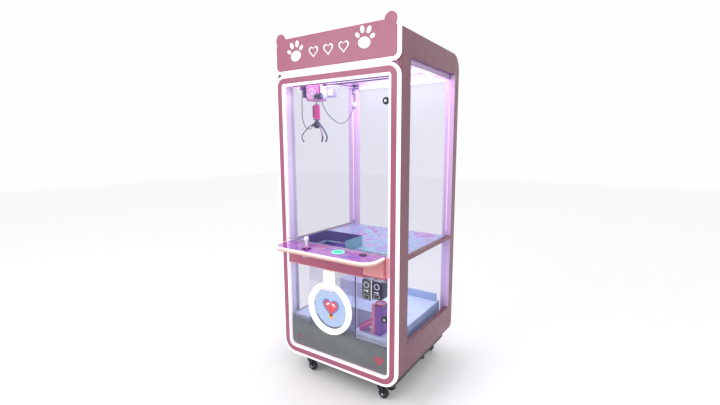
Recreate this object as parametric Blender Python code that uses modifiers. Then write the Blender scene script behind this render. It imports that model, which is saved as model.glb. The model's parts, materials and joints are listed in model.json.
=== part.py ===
"""A claw crane machine: an upright cabinet on castors and levelling feet, with a hinged front,
a control deck, a prize door, and a claw that hangs from a trolley on a bridge.

Metres, +Z up, the front facing -Y, the origin on the floor under the middle of the machine.
"""

from math import asin, atan2, cos, pi, radians, sin, sqrt

import bmesh
import bpy
from mathutils import Matrix, Vector
from mathutils.geometry import interpolate_bezier

# Driving dimensions
GAP = 0.0003                 # left between pieces that touch
WIDTH = 0.800                # over the side panels and the light strip round the front
SIDE_DEPTH = 0.732           # a side panel, front edge to back edge
DECK_REACH = 0.171           # the control deck, out from the side panels' front edges
SIDE_BOTTOM, SIDE_TOP = 0.179, 1.919
SIDE_THICK = 0.030
STRIP = 0.0167               # light strip round the front frame and the header
FRONT = -(SIDE_DEPTH + DECK_REACH) / 2 + DECK_REACH   # Y of the side panels' front edges

HALF = WIDTH / 2
INNER = HALF - SIDE_THICK    # X of a side panel's inner face
ARC = 6                      # segments in a rounded corner

WINDOW_DEPTHS = (0.090, 0.674)
WINDOW_HEIGHTS = ((0.332, 0.792), (0.812, 1.803))

BEZEL_HALF = HALF - STRIP
BEZEL_BAND = 0.0280
BEZEL_BOTTOM, BEZEL_TOP = 0.135, 1.7475
BEZEL_BACK, BEZEL_FACE = -0.0012, -0.0240     # depths from the side panels' front edges
CORNER_LOW, CORNER_HIGH = 0.072, 0.045
INNER_STRIP = 0.0135

HEADER_BOTTOM, HEADER_TOP = 1.7870, 1.9530
EAR_X, EAR_Z, EAR_RADIUS = 0.3495, 1.9500, 0.0340

DECK_HALF, DECK_CORNER = 0.328, 0.075
DECK_LOW, DECK_HIGH = 0.8030, 0.8280
DECK_STRIP = 0.0083
APRON_BOTTOM = 0.695
PLAY_LOW, PLAY_HIGH = 0.7960, 0.8060

PANE = 0.0050                # front glass
PANE_FACE = -0.0130          # depth of its outer face
PANE_HALF = 0.3413

JOYSTICK = (-0.110, -0.117)  # X, depth
JOYSTICK_PIVOT = 0.7900
DROP_BUTTON = (0.074, -0.078)
SMALL_BUTTON = (0.217, -0.057)

RING_X, RING_Z, RING_RADIUS, RING_HOLE = -0.033, 0.473, 0.1500, 0.1200
NECK_HALF = 0.035
FLAP_RADIUS, FLAP_HINGE = 0.1135, 0.5600

DOOR_SEAM, DOOR_LOW, DOOR_HIGH = 0.1430, 0.3450, 0.6940
UPPER_LOCK = (0.3225, 1.590)
LOWER_LOCK = (0.3225, 0.492)
COIN_SLOTS = ((0.213, 0.578, 0.686), (0.2765, 0.592, 0.686))   # X, lowest and highest Z
COIN_HALF = 0.0275

HOLE_X, HOLE_DEPTHS = (-0.208, 0.048), (0.014, 0.174)      # the prize hole in the playfield
FENCE_TOP, FENCE_THICK = 0.8650, 0.0040
CHUTE_X, CHUTE_BACK, CHUTE_SHEET = (HOLE_X[0] - 0.001, 0.1000), 0.2620, 0.0030

TROLLEY_X, TROLLEY_HALF, TROLLEY_DEPTH = -0.195, 0.0545, 0.072
ROD_Z, ROD_RADIUS, ROD_SPREAD = 1.7150, 0.0060, 0.0300
CLAW_X, CLAW_DEPTH = -0.181, TROLLEY_DEPTH
CORD_TOP = 1.6250
FINGER_PIVOT_Z, FINGER_PIVOT_RADIUS = 1.4950, 0.0240

CASTOR_X, CASTOR_DEPTHS, CASTOR_TRAIL = 0.2550, (0.048, 0.655), 0.0260
CASTOR_TOP, WHEEL_RADIUS, WHEEL_HALF = 0.1080, 0.0290, 0.0110
WHEEL_LIFT = 0.0015          # the machine stands on its feet, clear of the wheels
FOOT_X, FOOT_DEPTHS = 0.2700, (0.150, 0.540)
PAN_HALF, PAN_DEPTHS, PAN_SHEET = 0.3600, (0.004, 0.684), 0.0060
PAN_HOLE_HALF, PAN_LIP = 0.1980, 0.1200
PLATFORM_HALF, PLATFORM_DEPTHS = 0.3350, (0.016, 0.676)
PLATFORM_LOW, PLATFORM_TOP = 0.1993, 0.3650


def clear_scene():
    for thing in list(bpy.data.objects):
        bpy.data.objects.remove(thing, do_unlink=True)
    made = bpy.data.collections.new("claw_crane")
    bpy.context.scene.collection.children.link(made)
    return made


PARTS = clear_scene()


def material(name, colour, roughness, metallic=0.0, alpha=1.0):
    made = bpy.data.materials.new(name)
    made.use_nodes = True
    shader = made.node_tree.nodes["Principled BSDF"]
    shader.inputs["Base Color"].default_value = (*colour, 1.0)
    shader.inputs["Roughness"].default_value = roughness
    shader.inputs["Metallic"].default_value = metallic
    shader.inputs["Alpha"].default_value = alpha
    return made


PINK = material("pink_paint", (0.46, 0.14, 0.22), 0.35)
LIGHT = material("light_strip", (1.0, 0.86, 0.93), 0.40)
GLASS = material("clear_glass", (0.86, 0.88, 0.95), 0.05, alpha=0.2)
SMOKED = material("smoked_acrylic", (0.10, 0.06, 0.20), 0.10, alpha=0.7)
WHITE = material("white_panel", (0.75, 0.76, 0.80), 0.35)
VIOLET = material("violet_deck", (0.38, 0.16, 0.60), 0.15)
LILAC = material("lilac_frame", (0.62, 0.40, 0.72), 0.30)
MAGENTA = material("magenta_coil", (0.62, 0.03, 0.30), 0.35)
CHROME = material("chrome_metal", (0.80, 0.80, 0.82), 0.12, metallic=1.0)
STEEL = material("zinc_steel", (0.50, 0.50, 0.52), 0.40, metallic=1.0)
BLACK = material("black_plastic", (0.02, 0.02, 0.025), 0.45)
RUBBER = material("castor_rubber", (0.03, 0.03, 0.03), 0.70)
TEAL = material("teal_button", (0.05, 0.75, 0.60), 0.20)
SKY = material("flap_acrylic", (0.55, 0.70, 0.88), 0.20)


def at_depth(depth):
    return FRONT + depth


def finish(thing, name, look):
    thing.name = name
    thing.data.name = name
    thing.data.materials.append(look)
    for holder in list(thing.users_collection):
        holder.objects.unlink(thing)
    PARTS.objects.link(thing)
    return thing


def block(name, xs, depths, zs, look):
    """A box between two X, two depths and two Z."""
    ys = [at_depth(d) for d in depths]
    centre = [(a + b) / 2 for a, b in (xs, ys, zs)]
    bpy.ops.mesh.primitive_cube_add(size=1.0, location=centre)
    thing = bpy.context.object
    thing.data.transform(Matrix.Diagonal([abs(b - a) for a, b in (xs, ys, zs)] + [1.0]))
    return finish(thing, name, look)


def disc(name, centre, radius, length, look, axis="Z", sides=24):
    """A cylinder about its centre, along the named axis."""
    bpy.ops.mesh.primitive_cylinder_add(
        vertices=sides, radius=radius, depth=length, location=centre
    )
    thing = bpy.context.object
    if axis == "X":
        thing.data.transform(Matrix.Rotation(pi / 2, 4, "Y"))
    if axis == "Y":
        thing.data.transform(Matrix.Rotation(pi / 2, 4, "X"))
    thing.data.shade_smooth()
    thing.data.set_sharp_from_angle(angle=radians(40))
    return finish(thing, name, look)


def turned(name, centre, profile, look, axis="Z", steps=20):
    """A solid turned about an axis through centre. The profile is (radius, height), top to bottom."""
    mesh = bpy.data.meshes.new(name)
    body = bmesh.new()
    points = [body.verts.new((radius, 0.0, height)) for radius, height in profile]
    for first, second in zip(points, points[1:]):
        body.edges.new((first, second))
    body.to_mesh(mesh)
    body.free()
    thing = bpy.data.objects.new(name, mesh)
    bpy.context.scene.collection.objects.link(thing)
    thing.location = centre
    if axis == "Y":
        thing.rotation_euler = (pi / 2, 0.0, 0.0)
    screw = thing.modifiers.new("turn", "SCREW")
    screw.steps = screw.render_steps = steps
    screw.use_merge_vertices = True
    screw.merge_threshold = 0.00001
    return finish(thing, name, look)


def rounded(corners, steps=ARC):
    """The outline through these (u, v, radius) corners, each rounded by an arc."""
    outline = []
    count = len(corners)
    for index, (u, v, radius) in enumerate(corners):
        corner = Vector((u, v))
        if radius <= 0.0:
            outline.append((u, v))
            continue
        before = (Vector(corners[index - 1][:2]) - corner).normalized()
        after = (Vector(corners[(index + 1) % count][:2]) - corner).normalized()
        half_angle = before.angle(after) / 2
        centre = corner + (before + after).normalized() * radius / sin(half_angle)
        start = corner + before * radius / (sin(half_angle) / cos(half_angle)) - centre
        end = corner + after * radius / (sin(half_angle) / cos(half_angle)) - centre
        turn = start.angle_signed(end)
        for step in range(steps + 1):
            angle = -turn * step / steps
            swung = Vector((
                start.x * cos(angle) - start.y * sin(angle),
                start.x * sin(angle) + start.y * cos(angle),
            ))
            outline.append(tuple(centre + swung))
    return outline


def rectangle(us, vs, radius=0.0):
    return rounded([(us[0], vs[0], radius), (us[1], vs[0], radius),
                    (us[1], vs[1], radius), (us[0], vs[1], radius)])


def circle(u, v, radius, sides=24):
    return [(u + radius * cos(2 * pi * i / sides), v + radius * sin(2 * pi * i / sides))
            for i in range(sides)]


TURNS = {
    "X": (pi / 2, 0.0, pi / 2),      # outline (depth, z), thickness along X
    "Y": (pi / 2, 0.0, 0.0),         # outline (x, z), thickness along depth
    "Z": (0.0, 0.0, 0.0),            # outline (x, depth), thickness along Z
}


def plate(name, axis, span, outlines, look):
    """A flat outline, then any holes in it, made as thick as span along the axis."""
    curve = bpy.data.curves.new(name, "CURVE")
    curve.dimensions = "2D"
    curve.fill_mode = "BOTH"
    curve.extrude = (span[1] - span[0]) / 2
    middle = (span[0] + span[1]) / 2
    for outline in outlines:
        spline = curve.splines.new("POLY")
        spline.points.add(len(outline) - 1)
        for point, (u, v) in zip(spline.points, outline):
            point.co = (u, v, 0.0, 1.0)
        spline.use_cyclic_u = True
    thing = bpy.data.objects.new(name, curve)
    bpy.context.scene.collection.objects.link(thing)
    thing.rotation_euler = TURNS[axis]
    offsets = {"X": (middle, FRONT, 0.0), "Y": (0.0, FRONT + middle, 0.0), "Z": (0.0, FRONT, middle)}
    thing.location = offsets[axis]
    return finish(thing, name, look)


def tube(name, points, radius, look, resolution=2):
    """A round wire or cable through these points."""
    curve = bpy.data.curves.new(name, "CURVE")
    curve.dimensions = "3D"
    curve.bevel_depth = radius
    curve.bevel_resolution = resolution
    curve.use_fill_caps = True
    spline = curve.splines.new("POLY")
    spline.points.add(len(points) - 1)
    for point, place in zip(spline.points, points):
        point.co = (*place, 1.0)
    thing = bpy.data.objects.new(name, curve)
    bpy.context.scene.collection.objects.link(thing)
    return finish(thing, name, look)


def joined(thing, others):
    """One body made of thing and the others, which are used up."""
    for other in others:
        union = thing.modifiers.new("join", "BOOLEAN")
        union.operation = "UNION"
        union.object = other
        bpy.context.view_layer.update()
        graph = bpy.context.evaluated_depsgraph_get()
        merged = bpy.data.meshes.new_from_object(thing.evaluated_get(graph))
        look = thing.data.materials[0]
        thing.modifiers.clear()
        thing.data = merged
        thing.data.materials.clear()
        thing.data.materials.append(look)
        bpy.data.objects.remove(other, do_unlink=True)
    thing.data.name = thing.name
    return thing


def as_mesh(thing):
    """The same solid as a mesh object, so that a Boolean can use it."""
    bpy.context.view_layer.update()
    graph = bpy.context.evaluated_depsgraph_get()
    mesh = bpy.data.meshes.new_from_object(thing.evaluated_get(graph))
    mesh.transform(thing.matrix_world)
    body = bmesh.new()
    body.from_mesh(mesh)
    bmesh.ops.remove_doubles(body, verts=body.verts, dist=0.00001)
    body.to_mesh(mesh)
    body.free()
    name = thing.name
    look = thing.data.materials[0]
    bpy.data.objects.remove(thing, do_unlink=True)
    made = bpy.data.objects.new(name, mesh)
    bpy.context.scene.collection.objects.link(made)
    mesh.materials.clear()
    return finish(made, name, look)


def pivot(name, place, *things):
    """An empty on a joint's axis, which the things hang from."""
    hinge = bpy.data.objects.new(name, None)
    PARTS.objects.link(hinge)
    hinge.location = place
    hinge.empty_display_size = 0.03
    bpy.context.view_layer.update()
    for thing in things:
        thing.parent = hinge
        thing.matrix_parent_inverse = hinge.matrix_world.inverted()
    return hinge


# Cabinet

def side_panels():
    outline = rounded([
        (0.0, SIDE_BOTTOM, 0.0),
        (SIDE_DEPTH, SIDE_BOTTOM, 0.035),
        (SIDE_DEPTH, SIDE_TOP, 0.090),
        (0.0, SIDE_TOP, 0.0),
    ])
    windows = [rectangle(WINDOW_DEPTHS, heights) for heights in WINDOW_HEIGHTS]
    for side, sign in (("left", -1), ("right", 1)):
        span = sorted((sign * INNER, sign * (HALF - GAP)))
        plate(f"{side}_side_panel", "X", span, [outline, *windows], PINK)
        glass = sorted((sign * (INNER - 0.0010), sign * (INNER - 0.0050)))
        block(f"{side}_glass", glass, (0.062, 0.688), (0.306, 1.828), GLASS)


def rear_wall():
    outline = rectangle((-INNER + GAP, INNER - GAP), (0.1835, 1.8280))
    opening = rectangle((-0.3340, 0.3340), (0.2300, 1.7700))
    plate("rear_frame", "Y", (0.690, 0.722), [outline, opening], LILAC)
    block("rear_glass", (-0.350, 0.350), (0.7225, 0.7275), (0.2100, 1.7900), GLASS)


def roof():
    """A folded sheet: the ceiling, the back and the top."""
    sheet, back, front = 0.003, 0.700, 0.0005
    low, high = 1.8290, 1.9160
    outline = [
        (front, low), (back, low), (back, high), (front, high),
        (front, high - sheet), (back - sheet, high - sheet),
        (back - sheet, low + sheet), (front, low + sheet),
    ]
    plate("roof_box", "X", (-INNER + GAP, INNER - GAP), [outline], PINK)


def header():
    """The name board over the front, with two round ears, and its light strip."""
    def board(grow):
        top, side, radius = HEADER_TOP + grow, BEZEL_HALF + grow, EAR_RADIUS + grow
        low = HEADER_BOTTOM - grow
        inward = sqrt(radius ** 2 - (top - EAR_Z) ** 2)
        start = atan2(top - EAR_Z, -inward)
        stop = -asin(min(1.0, (EAR_Z - 1.9300) / radius))
        ear = [(EAR_X + radius * cos(a), EAR_Z + radius * sin(a))
               for a in [start + (stop - start) * i / 12 for i in range(13)]]
        right = rounded([(0.0, low, 0.0), (side, low, 0.022 + grow), (side, 1.9150, 0.0)])
        right = right[1:] + ear[::-1]
        return right + [(-x, z) for x, z in reversed(right)]

    plate("header_panel", "Y", (BEZEL_FACE, BEZEL_BACK), [board(0.0)], PINK)
    plate("header_light", "Y", (-0.0210, -0.0030), [board(STRIP - GAP), board(GAP)], LIGHT)


def base():
    """A pan under the floor, open below, and the white platform that stands on it."""
    half, front, back = PAN_HALF, *PAN_DEPTHS
    low, high = CASTOR_TOP + GAP, PLATFORM_LOW - GAP
    hole_depths = (front + PAN_LIP, front + PAN_LIP + 0.64 * (back - front))
    around = ((-1, front), (1, front), (1, back), (-1, back))
    mesh = bpy.data.meshes.new("base_frame")
    body = bmesh.new()
    top = [body.verts.new((side * half, at_depth(d), high)) for side, d in around]
    foot = [body.verts.new((side * half, at_depth(d), low)) for side, d in around]
    lip = [body.verts.new((side * PAN_HOLE_HALF, at_depth(hole_depths[d == back]), low))
           for side, d in around]
    body.faces.new(top)
    for ring, below in ((top, foot), (foot, lip)):
        for i in range(4):
            after = (i + 1) % 4
            body.faces.new((ring[i], below[i], below[after], ring[after]))
    bmesh.ops.recalc_face_normals(body, faces=body.faces)
    body.to_mesh(mesh)
    body.free()
    pan = bpy.data.objects.new("base_frame", mesh)
    bpy.context.scene.collection.objects.link(pan)
    walls = pan.modifiers.new("sheet", "SOLIDIFY")
    walls.thickness = PAN_SHEET
    walls.offset = -1.0
    finish(pan, "base_frame", STEEL)
    side, (near, far), notch = PLATFORM_HALF, PLATFORM_DEPTHS, CHUTE_BACK + 0.006
    (left, right) = (CHUTE_X[0] - 0.006, CHUTE_X[1] + 0.006)
    platform = [(-side, near), (left, near), (left, notch), (right, notch),
                (right, near), (side, near), (side, far), (-side, far)]
    plate("base_platform", "Z", (PLATFORM_LOW, PLATFORM_TOP), [platform], WHITE)
    block("control_box", (-0.300, -0.090), (0.420, 0.640), (PLATFORM_TOP + GAP, 0.4700), BLACK)
    block("power_inlet", (-0.215, -0.155), (back + GAP, 0.7100), (0.1350, 0.1750), BLACK)


def levelling_feet():
    profile = [
        (0.0, CASTOR_TOP), (0.005, CASTOR_TOP), (0.005, 0.0300), (0.011, 0.0300),
        (0.011, 0.0200), (0.014, 0.0160), (0.024, 0.0070), (0.024, 0.0), (0.0, 0.0),
    ]
    for end, depth in zip(("front", "rear"), FOOT_DEPTHS):
        for side, sign in (("left", -1), ("right", 1)):
            turned(f"foot_{end}_{side}", (sign * FOOT_X, at_depth(depth), 0.0),
                   profile, BLACK, steps=16)


def castors():
    """Swivel castors, all trailing towards +X."""
    for end, depth in zip(("front", "rear"), CASTOR_DEPTHS):
        for side, sign in (("left", -1), ("right", 1)):
            x = sign * CASTOR_X
            wheel_z = WHEEL_LIFT + WHEEL_RADIUS
            axle_x = x + CASTOR_TRAIL
            top = CASTOR_TOP - 0.0010
            crown = top - 0.0060
            cheek = [
                (x - 0.020, crown), (x - 0.020, crown - 0.014), (axle_x - 0.009, wheel_z),
                (axle_x, wheel_z - 0.009), (axle_x + 0.009, wheel_z), (x + 0.024, crown),
            ]
            thick = 0.0030
            near = WHEEL_HALF + 0.0015
            fork = as_mesh(plate(f"castor_fork_{end}_{side}", "Y",
                                 (depth - near - thick, depth - near), [cheek], STEEL))
            far = as_mesh(plate("far_cheek", "Y", (depth + near, depth + near + thick), [cheek], STEEL))
            reach = near + thick - 0.0004
            bridge = block("crown", (x - 0.0195, x + 0.0215), (depth - reach, depth + reach),
                           (crown - 0.003, crown + 0.0005), STEEL)
            swivel = disc("swivel", (x, at_depth(depth), top - 0.003), 0.019, 0.006, STEEL, sides=20)
            axle = disc("axle", (axle_x, at_depth(depth), wheel_z), 0.0040,
                        2 * (near + thick) + 0.002, STEEL, axis="Y", sides=12)
            joined(fork, [far, bridge, swivel, axle])
            hub = circle(axle_x, wheel_z, 0.0043, 12)
            tread = circle(axle_x, wheel_z, WHEEL_RADIUS, 24)
            wheel = plate(f"castor_wheel_{end}_{side}", "Y",
                          (depth - WHEEL_HALF, depth + WHEEL_HALF), [tread, hub], RUBBER)
            pivot(f"swivel_axis_{end}_{side}", (x, at_depth(depth), top), fork)
            pivot(f"axle_axis_{end}_{side}", (axle_x, at_depth(depth), wheel_z), wheel)


# Play area

def playfield():
    floor = rectangle((-INNER + 0.0060, INNER - 0.0060), (0.006, 0.686))
    hole = rectangle(HOLE_X, HOLE_DEPTHS)
    plate("playfield", "Z", (PLAY_LOW, PLAY_HIGH), [floor, hole], WHITE)
    (x0, x1), (d0, d1), t = HOLE_X, HOLE_DEPTHS, FENCE_THICK
    low, high, back = x0 - 0.001, x1 + 0.001, d1 + 0.001
    fence = [
        (low - t, d0), (low, d0), (low, back), (high, back),
        (high, d0), (high + t, d0), (high + t, back + t), (low - t, back + t),
    ]
    plate("chute_fence", "Z", (PLAY_HIGH + GAP, FENCE_TOP), [fence], SMOKED)


def prize_chute():
    """A duct from the prize hole down to the prize door: side walls, a stepped back, a sloping floor."""
    front, top = 0.0070, PLAY_LOW - GAP
    shoulder, bend, mouth_top = HOLE_DEPTHS[1] + 0.004, 0.640, 0.600
    back = [(shoulder, top), (shoulder, bend), (CHUTE_BACK, 0.580), (CHUTE_BACK, 0.385), (front, 0.344)]
    mesh = bpy.data.meshes.new("prize_chute")
    body = bmesh.new()
    rows = [[body.verts.new((x, at_depth(d), z)) for d, z in back] for x in CHUTE_X]
    fronts = [[body.verts.new((x, at_depth(front), z)) for z in (top, bend, mouth_top)]
              for x in CHUTE_X]
    for i in range(4):
        body.faces.new((rows[0][i], rows[0][i + 1], rows[1][i + 1], rows[1][i]))
    for row, edge in zip(rows, fronts):
        body.faces.new((edge[0], row[0], row[1], edge[1]))
        body.faces.new((edge[1], row[1], row[2], edge[2]))
        body.faces.new((edge[2], row[2], row[3], row[4]))
    for i in range(2):
        body.faces.new((fronts[0][i], fronts[1][i], fronts[1][i + 1], fronts[0][i + 1]))
    bmesh.ops.recalc_face_normals(body, faces=body.faces)
    body.to_mesh(mesh)
    body.free()
    thing = bpy.data.objects.new("prize_chute", mesh)
    bpy.context.scene.collection.objects.link(thing)
    walls = thing.modifiers.new("sheet", "SOLIDIFY")
    walls.thickness = CHUTE_SHEET
    walls.offset = -1.0
    finish(thing, "prize_chute", GLASS)


def coin_safe():
    """The tall coin box and the sloping tray that leads away from it."""
    foot = PLATFORM_TOP + GAP
    outline = [
        (0.212, foot), (0.270, foot), (0.270, 0.5400), (0.212, 0.5400),
        (0.212, 0.4580), (0.128, 0.3960), (0.128, foot), (0.150, foot), (0.212, 0.4100),
    ]
    plate("coin_box", "Y", (0.0300, 0.1050), [outline], MAGENTA)


# Hinged front

def bezel_outline(grow):
    side = BEZEL_HALF + grow
    low, high = CORNER_LOW + grow, CORNER_HIGH + grow
    return rounded([
        (-side, BEZEL_BOTTOM - grow, low), (side, BEZEL_BOTTOM - grow, low),
        (side, BEZEL_TOP + grow, high), (-side, BEZEL_TOP + grow, high),
    ], steps=8)


def front_frame():
    rings = (
        ("front_bezel", (BEZEL_FACE, BEZEL_BACK), 0.0, -BEZEL_BAND, PINK),
        ("bezel_outer_light", (-0.0210, -0.0030), STRIP - GAP, GAP, LIGHT),
        ("bezel_inner_light", (-0.0210, -0.0030), -BEZEL_BAND - GAP, -BEZEL_BAND - INNER_STRIP, LIGHT),
    )
    return [plate(name, "Y", span, [bezel_outline(outer), bezel_outline(inner)], look)
            for name, span, outer, inner, look in rings]


def front_glass():
    span = (PANE_FACE, PANE_FACE + PANE)
    foot = DECK_HIGH + 0.0010
    head = BEZEL_TOP - BEZEL_BAND - INNER_STRIP - GAP
    upper = rounded([
        (-PANE_HALF, foot, 0.0), (PANE_HALF, foot, 0.0),
        (PANE_HALF, head, 0.006), (-PANE_HALF, head, 0.006),
    ])
    upper_glass = plate("front_upper_glass", "Y", span,
                        [upper, circle(*UPPER_LOCK, 0.0085, 20)], GLASS)
    low = BEZEL_BOTTOM + BEZEL_BAND + INNER_STRIP + GAP
    corner = CORNER_LOW - BEZEL_BAND - INNER_STRIP
    lower = rounded([
        (-PANE_HALF, low, corner), (PANE_HALF, low, corner),
        (PANE_HALF, DOOR_LOW - 0.0010, 0.0), (DOOR_SEAM - 0.0010, DOOR_LOW - 0.0010, 0.0),
        (DOOR_SEAM - 0.0010, DOOR_HIGH, 0.0), (-PANE_HALF, DOOR_HIGH, 0.0),
    ])
    lower_glass = plate("front_lower_glass", "Y", span,
                        [lower, circle(RING_X, RING_Z, RING_HOLE - 0.001, 32)], GLASS)
    return [upper_glass, lower_glass]


def deck_outline(shrink, back):
    half, corner, front = DECK_HALF - shrink, DECK_CORNER - shrink, -DECK_REACH + shrink
    return rounded([(half, back, 0.0), (-half, back, 0.0), (-half, front, corner), (half, front, corner)],
                   steps=8)


def control_deck():
    holes = [circle(*JOYSTICK, 0.0225, 24), circle(*DROP_BUTTON, 0.0265, 24),
             circle(*SMALL_BUTTON, 0.0175, 20)]
    deck = plate("control_deck", "Z", (DECK_LOW, DECK_HIGH),
                 [deck_outline(DECK_STRIP, 0.0040), *holes], VIOLET)
    back = BEZEL_FACE - 0.0005
    outer = deck_outline(0.0, back)
    inner = deck_outline(DECK_STRIP - GAP, back)
    band = outer[1:] + outer[:1] + inner[:1] + inner[:0:-1]
    strip = plate("deck_light", "Z", (DECK_LOW + 0.002, DECK_HIGH - 0.0002), [band], LIGHT)
    apron = block("front_apron", (-PANE_HALF, PANE_HALF), (-0.0200, 0.0040),
                  (APRON_BOTTOM, DECK_LOW - GAP), PINK)
    return [deck, strip, apron]


def prize_ring():
    """A flat ring round the prize door, with a neck up to the apron."""
    start = asin(NECK_HALF / RING_RADIUS)
    arc = [(RING_X + RING_RADIUS * sin(a), RING_Z + RING_RADIUS * cos(a))
           for a in [start + (2 * pi - 2 * start) * i / 44 for i in range(45)]]
    top = APRON_BOTTOM - 0.0010
    outline = [(RING_X + NECK_HALF, top), *arc, (RING_X - NECK_HALF, top)]
    return plate("prize_door_ring", "Y", (-0.0360, PANE_FACE - GAP),
                 [outline, circle(RING_X, RING_Z, RING_HOLE, 32)], LIGHT)


def prize_flap():
    """A round flap with a flat top, hung from a pin behind the glass."""
    rise = FLAP_HINGE + 0.005 - RING_Z
    start = asin(sqrt(FLAP_RADIUS ** 2 - rise ** 2) / FLAP_RADIUS)
    arc = [(RING_X + FLAP_RADIUS * sin(a), RING_Z + FLAP_RADIUS * cos(a))
           for a in [start + (2 * pi - 2 * start) * i / 32 for i in range(33)]]
    flap = plate("prize_flap", "Y", (-0.0125, -0.0085), [arc], SKY)
    pivot("flap_axis", (RING_X, at_depth(-0.0105), FLAP_HINGE), flap)


def lock(name, place):
    """A round cam lock: a flange in front, a barrel through the glass and a short cam behind."""
    x, z = place
    centre = (x, at_depth(PANE_FACE), z)
    profile = [
        (0.0, 0.0090), (0.0140, 0.0090), (0.0180, 0.0060), (0.0180, 0.0003),
        (0.0080, 0.0003), (0.0080, -0.0100), (0.0, -0.0100),
    ]
    barrel = as_mesh(turned(name, centre, profile, BLACK, axis="Y", steps=20))
    cam = block("cam", (x - 0.006, x + 0.017), (PANE_FACE + 0.0085, PANE_FACE + 0.0110),
                (z - 0.006, z + 0.006), STEEL)
    thing = joined(barrel, [cam])
    pivot(f"{name}_axis", centre, thing)


def coin_door():
    span = (PANE_FACE, PANE_FACE + PANE)
    leaf = rectangle((DOOR_SEAM + 0.0010, PANE_HALF), (DOOR_LOW, DOOR_HIGH))
    slots = [rectangle((x - COIN_HALF - 0.0005, x + COIN_HALF + 0.0005), (low, high))
             for x, low, high in COIN_SLOTS]
    door = plate("coin_door", "Y", span, [leaf, *slots, circle(*LOWER_LOCK, 0.0085, 20)], GLASS)
    mechs = [
        block(f"coin_mech_{side}", (x - COIN_HALF, x + COIN_HALF), (PANE_FACE - 0.004, 0.0600),
              (low + 0.0005, high - 0.0005), BLACK)
        for side, (x, low, high) in zip(("left", "right"), COIN_SLOTS)
    ]
    pivot("coin_door_axis", (DOOR_SEAM + 0.0010, at_depth(PANE_FACE), 0.5), door, *mechs)
    lock("coin_lock", LOWER_LOCK)


def joystick():
    x, depth = JOYSTICK
    place = (x, at_depth(depth), JOYSTICK_PIVOT)
    half = 0.0170
    frame = rectangle((x - half, x + half), (depth - half, depth + half), 0.004)
    gimbal = plate("joystick_gimbal", "Z", (JOYSTICK_PIVOT - 0.004, JOYSTICK_PIVOT + 0.004),
                   [frame, circle(x, depth, 0.0110, 20)], STEEL)
    profile = [
        (0.0, 0.1080), (0.0080, 0.1056), (0.0120, 0.1000), (0.0130, 0.0940), (0.0110, 0.0860),
        (0.0070, 0.0800), (0.0060, 0.0560), (0.0170, 0.0500), (0.0170, 0.0480), (0.0055, 0.0480),
        (0.0055, 0.0060), (0.0080, 0.0), (0.0055, -0.0060), (0.0, -0.0060),
    ]
    stick = turned("joystick_stick", place, profile, WHITE, steps=16)
    pivot("joystick_axis", place, gimbal, stick)


def buttons():
    rows = (
        ("drop_button", DROP_BUTTON, 0.0260, 0.0080, TEAL),
        ("small_button", SMALL_BUTTON, 0.0170, 0.0050, BLACK),
    )
    for name, (x, depth), radius, rise, look in rows:
        top = DECK_HIGH + rise
        profile = [(0.0, top), (radius * 0.7, top - 0.0008), (radius * 0.94, top - 0.0025),
                   (radius, top - 0.0045), (radius, DECK_LOW + 0.006), (0.0, DECK_LOW + 0.006)]
        turned(name, (x, at_depth(depth), 0.0), profile, look, steps=24)


# Claw and its gantry

def gantry():
    for side, sign in (("left", -1), ("right", 1)):
        rail = sorted((sign * 0.3440, sign * 0.3640))
        block(f"rail_{side}", rail, (0.0200, 0.6850), (1.7800, 1.8080), STEEL)
    middle = TROLLEY_DEPTH
    ends = (middle - 0.045, middle + 0.045)
    frame = block("bridge_frame", (-0.3400, -0.3240), ends, (1.7050, 1.8180), LILAC)
    parts = [block("far_end", (0.3240, 0.3400), ends, (1.7050, 1.8180), LILAC)]
    for spread in (-ROD_SPREAD, ROD_SPREAD):
        parts.append(disc("rod", (0.0, at_depth(middle + spread), ROD_Z), ROD_RADIUS, 0.656, STEEL,
                          axis="X", sides=12))
    for sign in (-1, 1):
        parts.append(block("roller_arm", sorted((sign * 0.3390, sign * 0.3620)), ends,
                           (1.8090, 1.8180), LILAC))
    joined(frame, parts)
    hump = ROD_SPREAD - ROD_RADIUS - 0.0010
    low, shoulder, high, reach = CORD_TOP, ROD_Z - ROD_RADIUS - 0.0010, 1.7500, 0.040
    section = [
        (middle - reach, low), (middle + reach, low), (middle + reach, shoulder),
        (middle + hump, shoulder), (middle + hump, high), (middle - hump, high),
        (middle - hump, shoulder), (middle - reach, shoulder),
    ]
    plate("trolley", "X", (TROLLEY_X - TROLLEY_HALF, TROLLEY_X + TROLLEY_HALF), [section], MAGENTA)


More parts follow.
